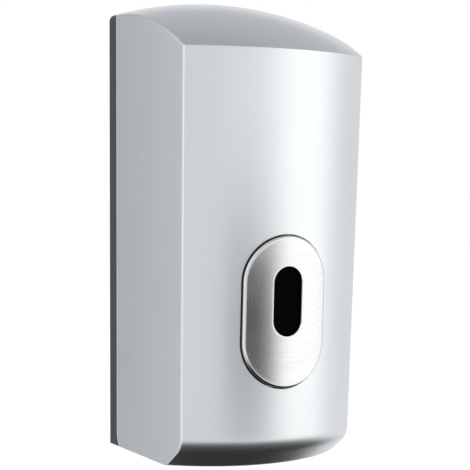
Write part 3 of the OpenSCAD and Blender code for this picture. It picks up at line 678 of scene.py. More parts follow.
# %% Bosses
SCREW_X, SCREW_DZ, BOSS_R, SCREW_BORE, SCREW_DEPTH = 36.5, 30.0, 4.0, 1.65, 6.2
HINGE_BOSS_R, PIN_BORE, PIN_DEPTH = 5.5, 2.1, 4.2
BOSS_END, BOSS_SINK = PLATE_FRONT + 21.1, 1.2
inside = []
for sx in (-1, 1):
    for sz in (-1, 1):
        z = PLATE_Z + sz * SCREW_DZ
        root = front_y(SCREW_X + BOSS_R, z, -BOSS_SINK)
        profile = boss_profile(BOSS_R, root, BOSS_END, SCREW_BORE, SCREW_DEPTH)
        inside.append(turned(profile, (sx * SCREW_X, 0, z), "y", 32))
    wall_x = half_w(HINGE_Z) - BOSS_SINK
    profile = boss_profile(HINGE_BOSS_R, wall_x, BOSS_X, PIN_BORE, PIN_DEPTH)
    inside.append(turned([(r, sx * h) for r, h in profile], (0, HINGE_Y, HINGE_Z), "x", 40))
print("bosses inside the cover:", len(inside))

# %% [markdown]
# ## The catch tab
# The tab hangs inside the crown, braced by two thin ribs, and the latch tongue grips it.
# Its edges could be softened by a modifier, but it becomes part of the cover's mesh,
# so a helper draws a block whose long edges are softened from the start.

# %% A softened block
def prism(outline, low, high, soft=0.35):
    """A block drawn out along X from a list of (a, b) corners, with its long edges softened."""
    n = len(outline)
    rounded = []
    for i in range(n):
        p, a, b = (Vector(outline[i]), Vector(outline[i - 1]), Vector(outline[(i + 1) % n]))
        to_a, to_b = (a - p).normalized() * soft, (b - p).normalized() * soft
        for t in (0.0, 0.5, 1.0):
            rounded.append(tuple(p + to_a * (1 - t) ** 2 + to_b * t ** 2))
    points, rings = [], []
    middle = sum((Vector(q) for q in rounded), Vector((0, 0))) / len(rounded)
    for x, pull in ((low, soft), (low + soft, 0), (high - soft, 0), (high, soft)):
        rings.append([len(points) + k for k in range(len(rounded))])
        for q in rounded:
            v = Vector(q)
            v += (middle - v).normalized() * pull
            points.append((x, v.x, v.y))
    faces = [tuple(reversed(rings[0])), tuple(rings[-1])]
    for a, b in zip(rings, rings[1:]):
        for k in range(len(rounded)):
            m = (k + 1) % len(rounded)
            faces.append((a[k], a[m], b[m], b[k]))
    return points, faces


def rectangle(near, far, low, high):
    """Corners of an upright rectangle, as (depth, height)."""
    return [(near, low), (far, low), (far, high), (near, high)]


print("a block's points:", len(prism(rectangle(0, 1, 0, 1), 0, 1)[0]))

# %% Tab, ribs and the whole cover
TAB_FRONT, TAB_BACK, TAB_LOW, TAB_TOP, TAB_HALF = -27.6, -25.0, 248.4, 269.4, 8.0
GUSSET_FRONT, GUSSET_LOW, GUSSET_T, SINK = -36.0, 257.0, 2.0, 0.6
tab = prism(rectangle(TAB_FRONT, TAB_BACK, TAB_LOW, TAB_TOP), -TAB_HALF, TAB_HALF)
gussets = [prism(rectangle(GUSSET_FRONT, TAB_FRONT + SINK, GUSSET_LOW, TAB_TOP - 0.5), *ends)
           for ends in ((-TAB_HALF, GUSSET_T - TAB_HALF), (TAB_HALF - GUSSET_T, TAB_HALF))]
points, faces = join_faces([(cover_points, cover_faces)] + inside + [tab] + gussets)
SHARP = 38.0
cover = make_piece("cover_moulding", points, faces, sharp=SHARP)
print("cover faces before its rim is softened:", len(cover.data.polygons))

# %% [markdown]
# ## The rim along the parting line
# The rim is a square edge so far. A small bevel on each side of it gives the moulding's true edge,
# and the bevel's own faces are shaded as part of the curve.

# %% Softened rim
RIM_BEVEL, RIM_ANGLE = 0.5 * MM, math.radians(40.0)


def rounded_place(co):
    """A point's place in tenths of a millimetre, so that equal places compare as equal."""
    return tuple(round(float(c) * 1e4) for c in co)


rim_points = set()
for edge, faces_there in neighbours.items():
    if faces_there == 1 and not (edge[0] in oval_set and edge[1] in oval_set):
        rim_points.update(rounded_place(to_frame(skins.outer[i])[0]) for i in edge)
work = bmesh.new()
work.from_mesh(cover.data)
rim = [e for e in work.edges if len(e.link_faces) == 2 and e.calc_face_angle() > RIM_ANGLE
       and all(rounded_place(v.co) in rim_points for v in e.verts)]
bmesh.ops.bevel(work, geom=rim, offset=RIM_BEVEL, segments=3, profile=0.5, affect="EDGES",
                clamp_overlap=True)
for face in work.faces:
    face.smooth = True
work.to_mesh(cover.data)
work.free()
cover.data.set_sharp_from_angle(angle=math.radians(SHARP))
print("rim edges softened:", len(rim))

# %% Cover onto its body
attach(cover, "cover")
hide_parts("front_cover")
print("cover:", len(cover.data.vertices), "points,", open_edges(cover), "open edges")

# %% [markdown]
# ## The push plate
# A shallow oval dish with a rounded edge that stands 2.5 mm proud of the cover, so a wet palm finds it.
# Its outline is two half circles joined by straight sides, and so is the slot's,
# so a stack of such outlines with equal counts can be skinned from the slot outward over the face,
# round the edge, back along the skirt and its flange, and inward again to the slot.

# %% Outlines of the plate
ARC_STEPS, RUN_STEPS = 56, 24
FLANGE_FRONT, FLANGE_BACK = COLLAR_BACK + 0.3, COLLAR_BACK + 2.3
PLATE_EDGE_R, SLOT_EDGE_R, SKIRT_T, FLANGE_LIP = 1.4, 0.4, 2.0, 2.2
BACK_R, POCKET_STEP, EASE = 0.8, 3.2, 0.25


def outline(w, h, z_mid, grow=0.0):
    """Upright stadium, anticlockwise from the foot of its right side."""
    r, rise = w / 2 + grow, (h - w) / 2
    loop = [(r, z_mid - rise + 2 * rise * i / RUN_STEPS) for i in range(RUN_STEPS)]
    loop += [(r * math.cos(math.pi * i / ARC_STEPS), z_mid + rise + r * math.sin(math.pi * i / ARC_STEPS))
             for i in range(ARC_STEPS)]
    loop += [(-r, z_mid + rise - 2 * rise * i / RUN_STEPS) for i in range(RUN_STEPS)]
    loop += [(-r * math.cos(math.pi * i / ARC_STEPS), z_mid - rise - r * math.sin(math.pi * i / ARC_STEPS))
             for i in range(ARC_STEPS)]
    return loop


def plate_outline(grow):
    return outline(PLATE_W, PLATE_H, PLATE_Z, grow)


def slot_outline(grow):
    return outline(SLOT_W, SLOT_H, SLOT_Z, grow)


def wrapped(loop, proud):
    return [(x, front_y(x, z, proud), z) for x, z in loop]


def flat(loop, y):
    return [(x, y, z) for x, z in loop]


def between(inner, outer, t):
    return [(a[0] + (b[0] - a[0]) * t, a[1] + (b[1] - a[1]) * t) for a, b in zip(inner, outer)]


print("points in an outline:", len(plate_outline(0)))

# %% Skin of the plate
stack = []
for a in np.linspace(0, math.pi / 2, 6):
    stack.append(wrapped(slot_outline(SLOT_EDGE_R * (1 - math.cos(a))),
                         PLATE_PROUD - SLOT_EDGE_R * (1 - math.sin(a))))
for t in np.linspace(0, 1, 17)[1:]:
    stack.append(wrapped(between(slot_outline(SLOT_EDGE_R), plate_outline(-PLATE_EDGE_R), t), PLATE_PROUD))
for a in np.linspace(math.pi / 2, 0, 11)[1:]:
    stack.append(wrapped(plate_outline(-PLATE_EDGE_R * (1 - math.cos(a))),
                         PLATE_PROUD - PLATE_EDGE_R * (1 - math.sin(a))))
for grow, depth in ((0.0, FLANGE_FRONT - FILLET), (FILLET, FLANGE_FRONT),
                    (FLANGE_LIP - EASE, FLANGE_FRONT), (FLANGE_LIP, FLANGE_FRONT + EASE),
                    (FLANGE_LIP, FLANGE_BACK - EASE), (FLANGE_LIP - EASE, FLANGE_BACK),
                    (EASE - SKIRT_T, FLANGE_BACK), (-SKIRT_T, FLANGE_BACK - EASE)):
    stack.append(flat(plate_outline(grow), depth))
for a in np.linspace(0, math.pi / 2, 5):
    stack.append(wrapped(plate_outline(-SKIRT_T - BACK_R * (1 - math.cos(a))), -BACK_R * (1 - math.sin(a))))
pocket = outline(SLOT_W + POCKET_STEP, SLOT_H + POCKET_STEP, SLOT_Z)
for t in np.linspace(1, 0, 9)[1:]:
    stack.append(wrapped(between(pocket, plate_outline(-SKIRT_T - BACK_R), t), 0.0))
for loop in (pocket, slot_outline(0)):
    stack.append([(x, min(front_y(x, z), PLATE_FRONT), z) for x, z in loop])
plate_points, plate_faces, n = [], [], len(stack[0])
for loop in stack:
    plate_points.extend(loop)
for i in range(len(stack)):
    j = (i + 1) % len(stack)
    for k in range(n):
        m = (k + 1) % n
        plate_faces.append((i * n + k, i * n + m, j * n + m, j * n + k))
print("loops in the plate's skin:", len(stack))

# %% [markdown]
# ## What the plate carries behind
# A round boss at its foot pushes the pump's plunger, and two pegs on low seats hold the springs.
# They come from the lathe helper, and their roots are sunk in the plate as the cover's bosses are.

# %% Pusher boss and spring seats
PUMP_Z, HEAD_R, BOSS_TIP = 58.0, 6.0, PLATE_FRONT + 16.6
SPRING_X, SPRING_SEAT = 18.325, -112.246
SEAT_R, SEAT_ROOT, PEG_R, PEG_ROOT, PEG_L = 3.8, 2.2, 2.0, 1.5, 6.0
behind = [turned(boss_profile(HEAD_R, PLATE_FRONT - 1.0, BOSS_TIP), (0, 0, PUMP_Z), "y", 48)]
for side in (-1, 1):
    place = (side * SPRING_X, 0, PLATE_Z)
    seat = boss_profile(SEAT_R, SPRING_SEAT - SEAT_ROOT, SPRING_SEAT, soft=0.25)
    peg = boss_profile(PEG_R, SPRING_SEAT - PEG_ROOT, SPRING_SEAT + PEG_L)
    behind += [turned(seat, place, "y", 32), turned(peg, place, "y", 28)]
points, faces = join_faces([(plate_points, plate_faces)] + behind)
plate = make_piece("push_plate_skin", points, faces, sharp=SHARP)
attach(plate, "push_button")
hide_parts("push_plate")
print("push plate:", len(plate.data.vertices), "points,", open_edges(plate), "open edges")

# %% [markdown]
# ## Finishes
# Each finish is a small node tree on Object coordinates, so its grain keeps its true size everywhere.
# One helper starts a Principled material, another adds fine grain: a noise that shifts
# the colour and roughness a little and lifts the surface by a few hundredths of a millimetre.

# %% Starting a material
def start_material(name, colour, metallic=0.0, roughness=0.5, specular=0.5, coat=0.0, coat_roughness=0.1):
    """A Principled material with plain values, its node tree and its shader."""
    material = bpy.data.materials.new(name)
    material.use_nodes = True
    tree = material.node_tree
    shader = tree.nodes["Principled BSDF"]
    shader.inputs["Base Color"].default_value = (*colour, 1.0)
    shader.inputs["Metallic"].default_value = metallic
    shader.inputs["Roughness"].default_value = roughness
    shader.inputs["Specular IOR Level"].default_value = specular
    shader.inputs["Coat Weight"].default_value = coat
    shader.inputs["Coat Roughness"].default_value = coat_roughness
    return material, tree, shader


def add_node(tree, kind, **values):
    """A node with its plain properties and its inputs set by name."""
    node = tree.nodes.new(kind)
    for key, value in values.items():
        if hasattr(node, key):
            setattr(node, key, value)
        else:
            node.inputs[key].default_value = value
    return node


print("helpers: start_material, add_node")

# %% Grain, tone and relief
def grain(tree, scale, stretch=(1.0, 1.0, 1.0), detail=3.0):
    """Noise on Object coordinates, with scale in features per metre."""
    place = add_node(tree, "ShaderNodeTexCoord")
    mapping = add_node(tree, "ShaderNodeMapping", Scale=stretch)
    noise = add_node(tree, "ShaderNodeTexNoise", Scale=scale, Detail=detail, Roughness=0.6)
    tree.links.new(place.outputs["Object"], mapping.inputs["Vector"])
    tree.links.new(mapping.outputs["Vector"], noise.inputs["Vector"])
    return noise.outputs["Fac"]


def spread(tree, fac, low, high, centre=0.22):
    """Maps a noise's middle range onto low..high."""
    node = add_node(tree, "ShaderNodeMapRange")
    node.inputs["From Min"].default_value = 0.5 - centre
    node.inputs["From Max"].default_value = 0.5 + centre
    node.inputs["To Min"].default_value = low
    node.inputs["To Max"].default_value = high
    tree.links.new(fac, node.inputs["Value"])
    return node.outputs["Result"]


def tint(tree, shader, fac, dark, light, centre=0.22):
    """Base colour between two close tones."""
    mix = add_node(tree, "ShaderNodeMix", data_type="RGBA")
    mix.inputs[6].default_value = (*dark, 1.0)
    mix.inputs[7].default_value = (*light, 1.0)
    tree.links.new(spread(tree, fac, 0.0, 1.0, centre), mix.inputs[0])
    tree.links.new(mix.outputs[2], shader.inputs["Base Color"])


def lift(tree, shader, fac, depth, strength=1.0):
    """Bump of that depth in metres."""
    bump = add_node(tree, "ShaderNodeBump", Strength=strength, Distance=depth)
    tree.links.new(fac, bump.inputs["Height"])
    tree.links.new(bump.outputs["Normal"], shader.inputs["Normal"])


print("helpers: grain, spread, tint, lift")

# %% [markdown]
# ## Silver lacquer and satin metal
# The cover is moulded plastic under a silver lacquer: fine metal flake that scatters widely,
# and a clear coat over it that gives a tighter, weaker shine.
# The push plate is a satin metal shell, darker and tighter, so it mirrors the studio in one strong gradient.

# %% Cover lacquer
silver, tree, shader = start_material("silver_lacquer", (0.60, 0.612, 0.628), metallic=0.9, roughness=0.36,
                                      coat=0.5, coat_roughness=0.12)
flake = grain(tree, 1800.0, detail=2.0)
cloud = grain(tree, 28.0, detail=3.0)
tint(tree, shader, flake, (0.580, 0.602, 0.620), (0.626, 0.646, 0.662))
tree.links.new(spread(tree, cloud, 0.35, 0.38), shader.inputs["Roughness"])
lift(tree, shader, flake, 0.000006, 0.5)
cover.data.materials.clear()
cover.data.materials.append(silver)
print("lacquer nodes:", len(tree.nodes))

# %% Plate metal
satin, tree, shader = start_material("satin_metal", (0.60, 0.605, 0.615), metallic=1.0, roughness=0.22)
brush = grain(tree, 900.0, stretch=(0.06, 1.0, 1.0), detail=3.0)
cloud = grain(tree, 40.0)
tint(tree, shader, brush, (0.515, 0.523, 0.536), (0.560, 0.568, 0.580))
tree.links.new(spread(tree, cloud, 0.19, 0.22), shader.inputs["Roughness"])
lift(tree, shader, brush, 0.000004, 0.4)
plate.data.materials.clear()
plate.data.materials.append(satin)
print("metal nodes:", len(tree.nodes))

# %% [markdown]
# ## Moulded and rubber finishes
# The pieces inside the cover keep the engineering shapes where those are right.
# Their finishes still carry detail: a fine moulded grain on the dark parts,
# a soft milky depth in the tank's plastic, and a waxy look on the silicone.

# %% Moulded finishes
def moulded(name, dark, light, roughness, scale, depth, coat=0.0, subsurface=0.0):
    """A moulded plastic or rubber, with its grain's scale in features per metre and its depth in metres."""
    material, tree, shader = start_material(name, light, roughness=roughness, coat=coat)
    skin = grain(tree, scale, detail=2.0)
    patch = grain(tree, 35.0)
    tint(tree, shader, patch, dark, light, 0.3)
    tree.links.new(spread(tree, patch, roughness - 0.03, roughness + 0.03), shader.inputs["Roughness"])
    lift(tree, shader, skin, depth, 0.6)
    if subsurface:
        shader.inputs["Subsurface Weight"].default_value = subsurface
        shader.inputs["Subsurface Radius"].default_value = (0.004, 0.004, 0.004)
        shader.inputs["Subsurface Scale"].default_value = 1.0
    return material


finishes = {
    "base_grey": moulded("graphite_moulding", (0.034, 0.041, 0.047), (0.040, 0.048, 0.055), 0.55,
                         scale=1700.0, depth=0.00004),
    "dark_plastic": moulded("dark_moulding", (0.030, 0.033, 0.037), (0.038, 0.041, 0.046), 0.38,
                            scale=2200.0, depth=0.00002),
    "white_plastic": moulded("white_moulding", (0.765, 0.775, 0.775), (0.790, 0.800, 0.800), 0.36,
                             scale=1800.0, depth=0.00001, coat=0.1),
    "tank_plastic": moulded("milky_moulding", (0.700, 0.742, 0.760), (0.722, 0.764, 0.780), 0.32,
                            scale=1400.0, depth=0.000008, coat=0.1, subsurface=0.15),
    "silicone": moulded("clear_silicone", (0.62, 0.62, 0.58), (0.70, 0.70, 0.66), 0.45,
                        scale=900.0, depth=0.00002, subsurface=0.2),
    "red_silicone": moulded("red_silicone", (0.36, 0.07, 0.03), (0.45, 0.09, 0.04), 0.5,
                            scale=900.0, depth=0.00002),
    "black_rubber": moulded("black_rubber", (0.012, 0.012, 0.013), (0.020, 0.020, 0.021), 0.6,
                            scale=1200.0, depth=0.00003),
}
print("moulded finishes:", len(finishes))

# %% [markdown]
# ## Smoked window and steel
# The window in the slot is so dark that it looks black; a faint haze keeps it from mirroring like glass.
# The springs, screws and pins are drawn steel, with fine lines along the wire.

# %% Window and steel
window, tree, shader = start_material("smoked_window", (0.001, 0.001, 0.001), roughness=0.3, specular=0.01)
haze = grain(tree, 240.0)
tree.links.new(spread(tree, haze, 0.25, 0.35), shader.inputs["Roughness"])
finishes["smoked_window"] = window
steel, tree, shader = start_material("bright_steel", (0.58, 0.58, 0.59), metallic=1.0, roughness=0.24)
drawn = grain(tree, 2400.0, stretch=(1.0, 0.1, 1.0), detail=2.0)
tint(tree, shader, drawn, (0.52, 0.52, 0.53), (0.64, 0.64, 0.65))
tree.links.new(spread(tree, drawn, 0.20, 0.30), shader.inputs["Roughness"])
lift(tree, shader, drawn, 0.000006, 0.5)
finishes["steel"] = steel
print("finishes:", sorted(finishes))

# %% [markdown]
# ## Finishes on the engineering pieces
# Nodes that get no new surface keep the engineering one and only need its finish.
# The record names each node's slot, so a loop reads it there, and the two can't drift apart.

# %% Finishes on the carried-over pieces
slot_of = {part["node"]: part["material_slot"] for part in frame["record"]["subparts"]}
finishes["cover_silver"], finishes["plate_silver"] = silver, satin
for name, piece in nodes.items():
    piece.data.materials.clear()
    piece.data.materials.append(finishes[slot_of[name]])
print("dressed", len(nodes), "carried-over pieces")

# %% [markdown]
# ## Small parts that repeat
# Springs, screws and grip ribs follow rules, so Geometry Nodes make them.
# Each tree places its shape on the points of a small carrier mesh, one point for each copy,
# and ends by realizing the copies and setting their finish. The result is then kept as a plain mesh.

# %% Node tree helpers
def new_tree(name, sizes):
    """An empty geometry tree with a carrier input, one named number for each size, and a finish."""
    group = bpy.data.node_groups.new(name, "GeometryNodeTree")
    group.interface.new_socket("Carrier", in_out="INPUT", socket_type="NodeSocketGeometry")
    for key, value in sizes.items():
        kind = "NodeSocketInt" if isinstance(value, int) else "NodeSocketFloat"
        group.interface.new_socket(key, in_out="INPUT", socket_type=kind).default_value = value
    group.interface.new_socket("Finish", in_out="INPUT", socket_type="NodeSocketMaterial")
    group.interface.new_socket("Result", in_out="OUTPUT", socket_type="NodeSocketGeometry")
    return group, group.nodes.new("NodeGroupInput"), group.nodes.new("NodeGroupOutput")


def wire(group, kind, links=(), **values):
    """A node with its properties and plain inputs set, and (input, source socket) pairs linked."""
    node = add_node(group, kind, **values)
    for key, source in links:
        group.links.new(source, node.inputs[key])
    return node


def maths(group, operation, *terms):
    """The result of one Math node; a term is a number or a socket."""
    node = wire(group, "ShaderNodeMath", operation=operation)
    for i, term in enumerate(terms):
        if isinstance(term, (int, float)):
            node.inputs[i].default_value = term
        else:
            group.links.new(term, node.inputs[i])
    return node.outputs[0]


def place_and_finish(group, given, out, shape):
    """Copies shape onto the carrier's points, tipped about X, then realizes them and sets the finish."""
    tip = wire(group, "ShaderNodeCombineXYZ", [("X", given.outputs["Tip"])])
    copies = wire(group, "GeometryNodeInstanceOnPoints",
                  [("Points", given.outputs["Carrier"]), ("Instance", shape), ("Rotation", tip.outputs[0])])
    real = wire(group, "GeometryNodeRealizeInstances", [("Geometry", copies.outputs[0])])
    dressed = wire(group, "GeometryNodeSetMaterial",
                   [("Geometry", real.outputs[0]), ("Material", given.outputs["Finish"])])
    group.links.new(dressed.outputs[0], out.inputs["Result"])


print("helpers: new_tree, wire, maths, place_and_finish")

# %% From a tree to a plain mesh
def grow_piece(name, group, places, finish, **sizes):
    """Runs a tree on points given in millimetres and keeps what it makes as a plain mesh."""
    carrier_mesh = bpy.data.meshes.new(name + "_carrier")
    carrier_mesh.from_pydata(to_frame(places).tolist(), [], [])
    carrier = bpy.data.objects.new(name + "_carrier", carrier_mesh)
    bpy.context.scene.collection.objects.link(carrier)
    modifier = carrier.modifiers.new("grow", "NODES")
    modifier.node_group = group
    for item in group.interface.items_tree:
        if item.in_out == "INPUT" and item.name in sizes:
            modifier[item.identifier] = sizes[item.name]
        if item.in_out == "INPUT" and item.name == "Finish":
            modifier[item.identifier] = finish
    result = carrier.evaluated_get(bpy.context.evaluated_depsgraph_get())
    mesh = bpy.data.meshes.new_from_object(result)
    carrier.modifiers.remove(modifier)
    bpy.data.objects.remove(carrier)
    mesh.name = name
    finish_mesh(mesh, sharp=35.0, merge=1e-6)
    piece = bpy.data.objects.new(name, mesh)
    bpy.context.scene.collection.objects.link(piece)
    mesh.materials.clear()
    mesh.materials.append(finish)
    return piece


print("helper: grow_piece")

# %% [markdown]
# ## Springs
# A compression spring is a wire wound at an even pitch, whose first and last turns are closed up
# so that it sits square on its seat. The tree winds a spiral, then moves its points along the axis
# by three slopes: gentle, steep, gentle.

# %% Spring tree
FORWARD, BACKWARD = math.radians(90), math.radians(-90)
CLOSED_TURNS, CLOSED_PITCH, WIRE_SIDES, TURN_STEPS = 0.9, 1.9, 12, 28
spring_tree, given, out = new_tree("wound_spring", {"Turns": 8.0, "Coil Radius": 0.003, "Wire Radius": 0.0004,
                                                    "Length": 0.018, "Tip": FORWARD})
spiral = wire(spring_tree, "GeometryNodeCurveSpiral",
              [("Rotations", given.outputs["Turns"]), ("Start Radius", given.outputs["Coil Radius"]),
               ("End Radius", given.outputs["Coil Radius"])])
spiral.inputs["Resolution"].default_value = TURN_STEPS
spiral.inputs["Height"].default_value = 0.0
progress = wire(spring_tree, "GeometryNodeSplineParameter").outputs["Factor"]
closed_part = maths(spring_tree, "DIVIDE", CLOSED_TURNS, given.outputs["Turns"])
closed_rise = maths(spring_tree, "MULTIPLY", given.outputs["Wire Radius"], CLOSED_PITCH)
open_part = maths(spring_tree, "SUBTRACT", 1.0, closed_part)
total_rise = maths(spring_tree, "SUBTRACT", given.outputs["Length"],
                   maths(spring_tree, "MULTIPLY", given.outputs["Wire Radius"], 2.0))
open_rise = maths(spring_tree, "SUBTRACT", total_rise, maths(spring_tree, "MULTIPLY", closed_rise, 2.0))
height = given.outputs["Wire Radius"]
for low, high, rise in ((0.0, closed_part, closed_rise), (closed_part, open_part, open_rise),
                        (open_part, 1.0, closed_rise)):
    slope = wire(spring_tree, "ShaderNodeMapRange", [("Value", progress), ("To Max", rise)])
    for key, end in (("From Min", low), ("From Max", high)):
        if isinstance(end, float):
            slope.inputs[key].default_value = end
        else:
            spring_tree.links.new(end, slope.inputs[key])
    height = maths(spring_tree, "ADD", height, slope.outputs["Result"])
offset = wire(spring_tree, "ShaderNodeCombineXYZ", [("Z", height)])
risen = wire(spring_tree, "GeometryNodeSetPosition",
             [("Geometry", spiral.outputs[0]), ("Offset", offset.outputs[0])])
section_curve = wire(spring_tree, "GeometryNodeCurvePrimitiveCircle",
                     [("Radius", given.outputs["Wire Radius"])], Resolution=WIRE_SIDES)
wound = wire(spring_tree, "GeometryNodeCurveToMesh",
             [("Curve", risen.outputs[0]), ("Profile Curve", section_curve.outputs[0])])
wound.inputs["Fill Caps"].default_value = True
place_and_finish(spring_tree, given, out, wound.outputs[0])
print("spring tree:", len(spring_tree.nodes), "nodes")

# %% [markdown]
# ## Springs in their seats
# Each spring fills the room between its two seats, and the engineering model's box gives that room.
# It stays with one body while the other end is pressed.

# %% Springs in their seats
plate_low, plate_high = (list(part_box("plate_springs")[i]) for i in (0, 1))
back_y, length = plate_high[1] / MM, plate_high[1] - plate_low[1]
spring_places = [(-SPRING_X, back_y, PLATE_Z), (SPRING_X, back_y, PLATE_Z)]
plate_springs = grow_piece("plate_spring_coils", spring_tree, spring_places, steel,
                           **{"Turns": 9.0, "Coil Radius": 0.003, "Wire Radius": 0.0004, "Length": length})
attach(plate_springs, "cover")
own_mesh(plate_springs)
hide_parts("plate_springs")
pump_low, pump_high = (list(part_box("return_spring")[i]) for i in (0, 1))
back_y, length = pump_high[1] / MM, pump_high[1] - pump_low[1]
return_coil = grow_piece("return_spring_coil", spring_tree, [(0.0, back_y, PUMP_Z)], steel,
                         **{"Turns": 7.0, "Coil Radius": 0.0051, "Wire Radius": 0.00045, "Length": length})
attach(return_coil, "root")
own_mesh(return_coil)
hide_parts("return_spring")
print("springs:", open_edges(plate_springs), open_edges(return_coil), "open edges")

# %% [markdown]
# ## Screws
# The guide frame and the latch are held by small pan head screws.
# The head is a disc cut by a flattened ball, which gives it a low dome, and two crossed bars
# are cut out of it for the driver. A wound ridge on the shaft stands for the thread.

# %% Screw tree
HEAD_SIZES = ("Head Radius", "Head Height", "Shaft Radius", "Shaft Length")
screw_tree, given, out = new_tree("pan_head_screw", {
    "Head Radius": 0.003, "Head Height": 0.0018, "Shaft Radius": 0.0015, "Shaft Length": 0.008,
    "Thread Turns": 7.0, "Tip": BACKWARD})
head_r, head_h, shaft_r, shaft_l = (given.outputs[key] for key in HEAD_SIZES)


def moved(group, geometry, up=None, scale=None):
    """The geometry shifted along Z and scaled; each term is a socket or a triple of sockets and numbers."""
    node = wire(group, "GeometryNodeTransform", [("Geometry", geometry)])
    for key, triple in (("Translation", (0.0, 0.0, up) if up is not None else None), ("Scale", scale)):
        if triple is None:
            continue
        parts = wire(group, "ShaderNodeCombineXYZ")
        for i, term in enumerate(triple):
            if isinstance(term, (int, float)):
                parts.inputs[i].default_value = term
            else:
                group.links.new(term, parts.inputs[i])
        group.links.new(parts.outputs[0], node.inputs[key])
    return node.outputs[0]


print("screw sizes:", HEAD_SIZES)

# %% Screw head
# Shares of the head's radius and height: the ball that domes it, and the bars of the cross
BALL_WIDE, BALL_TALL, BALL_SUNK, BAR_LONG, BAR_WIDE = 1.16, 1.07, 0.07, 1.1, 0.30
disc = wire(screw_tree, "GeometryNodeMeshCylinder", [("Radius", head_r), ("Depth", head_h)], Vertices=40)
disc_up = moved(screw_tree, disc.outputs["Mesh"], up=maths(screw_tree, "MULTIPLY", head_h, 0.5))
ball = wire(screw_tree, "GeometryNodeMeshUVSphere", Segments=40, Rings=20)
ball.inputs["Radius"].default_value = 1.0
ball_r = maths(screw_tree, "MULTIPLY", head_r, BALL_WIDE)
flat_ball = moved(screw_tree, ball.outputs["Mesh"], up=maths(screw_tree, "MULTIPLY", head_h, -BALL_SUNK),
                  scale=(ball_r, ball_r, maths(screw_tree, "MULTIPLY", head_h, BALL_TALL)))
domed = wire(screw_tree, "GeometryNodeMeshBoolean", operation="INTERSECT", solver="MANIFOLD")
screw_tree.links.new(disc_up, domed.inputs["Mesh 2"])
screw_tree.links.new(flat_ball, domed.inputs["Mesh 2"])
bar_long = maths(screw_tree, "MULTIPLY", head_r, BAR_LONG)
bar_wide = maths(screw_tree, "MULTIPLY", head_r, BAR_WIDE)
cut = wire(screw_tree, "GeometryNodeMeshBoolean", operation="DIFFERENCE", solver="MANIFOLD")
screw_tree.links.new(domed.outputs["Mesh"], cut.inputs["Mesh 1"])
for size in ((bar_long, bar_wide, head_h), (bar_wide, bar_long, head_h)):
    vector = wire(screw_tree, "ShaderNodeCombineXYZ", [(axis, term) for axis, term in zip("XYZ", size)])
    bar = wire(screw_tree, "GeometryNodeMeshCube", [("Size", vector.outputs[0])])
    screw_tree.links.new(moved(screw_tree, bar.outputs["Mesh"], up=head_h), cut.inputs["Mesh 2"])
print("screw head:", len(screw_tree.nodes), "nodes")

# %% Screw shaft
# Shares of the shaft's radius and length: its core, and the ridge wound on it
CORE_R, CORE_DOWN, RIDGE_AT, RIDGE_R, RIDGE_L, RIDGE_DOWN = 0.86, 0.49, 0.84, 0.16, 0.9, 0.96
core_r = maths(screw_tree, "MULTIPLY", shaft_r, CORE_R)
shaft = wire(screw_tree, "GeometryNodeMeshCylinder", [("Radius", core_r), ("Depth", shaft_l)], Vertices=24)
shaft_down = moved(screw_tree, shaft.outputs["Mesh"], up=maths(screw_tree, "MULTIPLY", shaft_l, -CORE_DOWN))
ridge_r = maths(screw_tree, "MULTIPLY", shaft_r, RIDGE_AT)
ridge_line = wire(screw_tree, "GeometryNodeCurveSpiral",
                  [("Rotations", given.outputs["Thread Turns"]), ("Start Radius", ridge_r),
                   ("End Radius", ridge_r), ("Height", maths(screw_tree, "MULTIPLY", shaft_l, RIDGE_L))],
                  Resolution=20)
ridge_section = wire(screw_tree, "GeometryNodeCurvePrimitiveCircle",
                     [("Radius", maths(screw_tree, "MULTIPLY", shaft_r, RIDGE_R))], Resolution=6)
ridge = wire(screw_tree, "GeometryNodeCurveToMesh",
             [("Curve", ridge_line.outputs[0]), ("Profile Curve", ridge_section.outputs[0])])
ridge.inputs["Fill Caps"].default_value = True
ridge_down = moved(screw_tree, ridge.outputs[0], up=maths(screw_tree, "MULTIPLY", shaft_l, -RIDGE_DOWN))
whole = wire(screw_tree, "GeometryNodeJoinGeometry")
for part in (cut.outputs["Mesh"], shaft_down, ridge_down):
    screw_tree.links.new(part, whole.inputs[0])
place_and_finish(screw_tree, given, out, whole.outputs[0])
print("screw tree:", len(screw_tree.nodes), "nodes")

# %% Screws in their places
HEAD_H, LATCH_X, LATCH_Z = 1.8, 6.8, 241.5
guide_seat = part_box("guide_screws")[1][1] / MM - HEAD_H
latch_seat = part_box("latch_screws")[0][1] / MM + HEAD_H
guide_places = [(sx * SCREW_X, guide_seat, PLATE_Z + sz * SCREW_DZ) for sx in (-1, 1) for sz in (-1, 1)]
latch_places = [(sx * LATCH_X, latch_seat, LATCH_Z) for sx in (-1, 1)]
guide_screws = grow_piece("guide_screw_set", screw_tree, guide_places, steel,
                          **{"Head Radius": 0.0030, "Tip": BACKWARD})
latch_screws = grow_piece("latch_screw_set", screw_tree, latch_places, steel,
                          **{"Head Radius": 0.0028, "Tip": FORWARD})
for piece, body, node in ((guide_screws, "cover", "guide_screws"), (latch_screws, "root", "latch_screws")):
    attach(piece, body)
    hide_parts(node)
print("screws:", open_edges(guide_screws), open_edges(latch_screws), "open edges")

# %% [markdown]
# ## Nuts and caps with grip ribs
# The union nut, the pump's end cap and the nozzle nut are turned plastic parts that a hand tightens.
# Their bodies come from the lathe helper. Their ribs are rods with round ends, stretched from a ball
# by moving its upper half up and its lower half down, and a tree sets them round the rim.

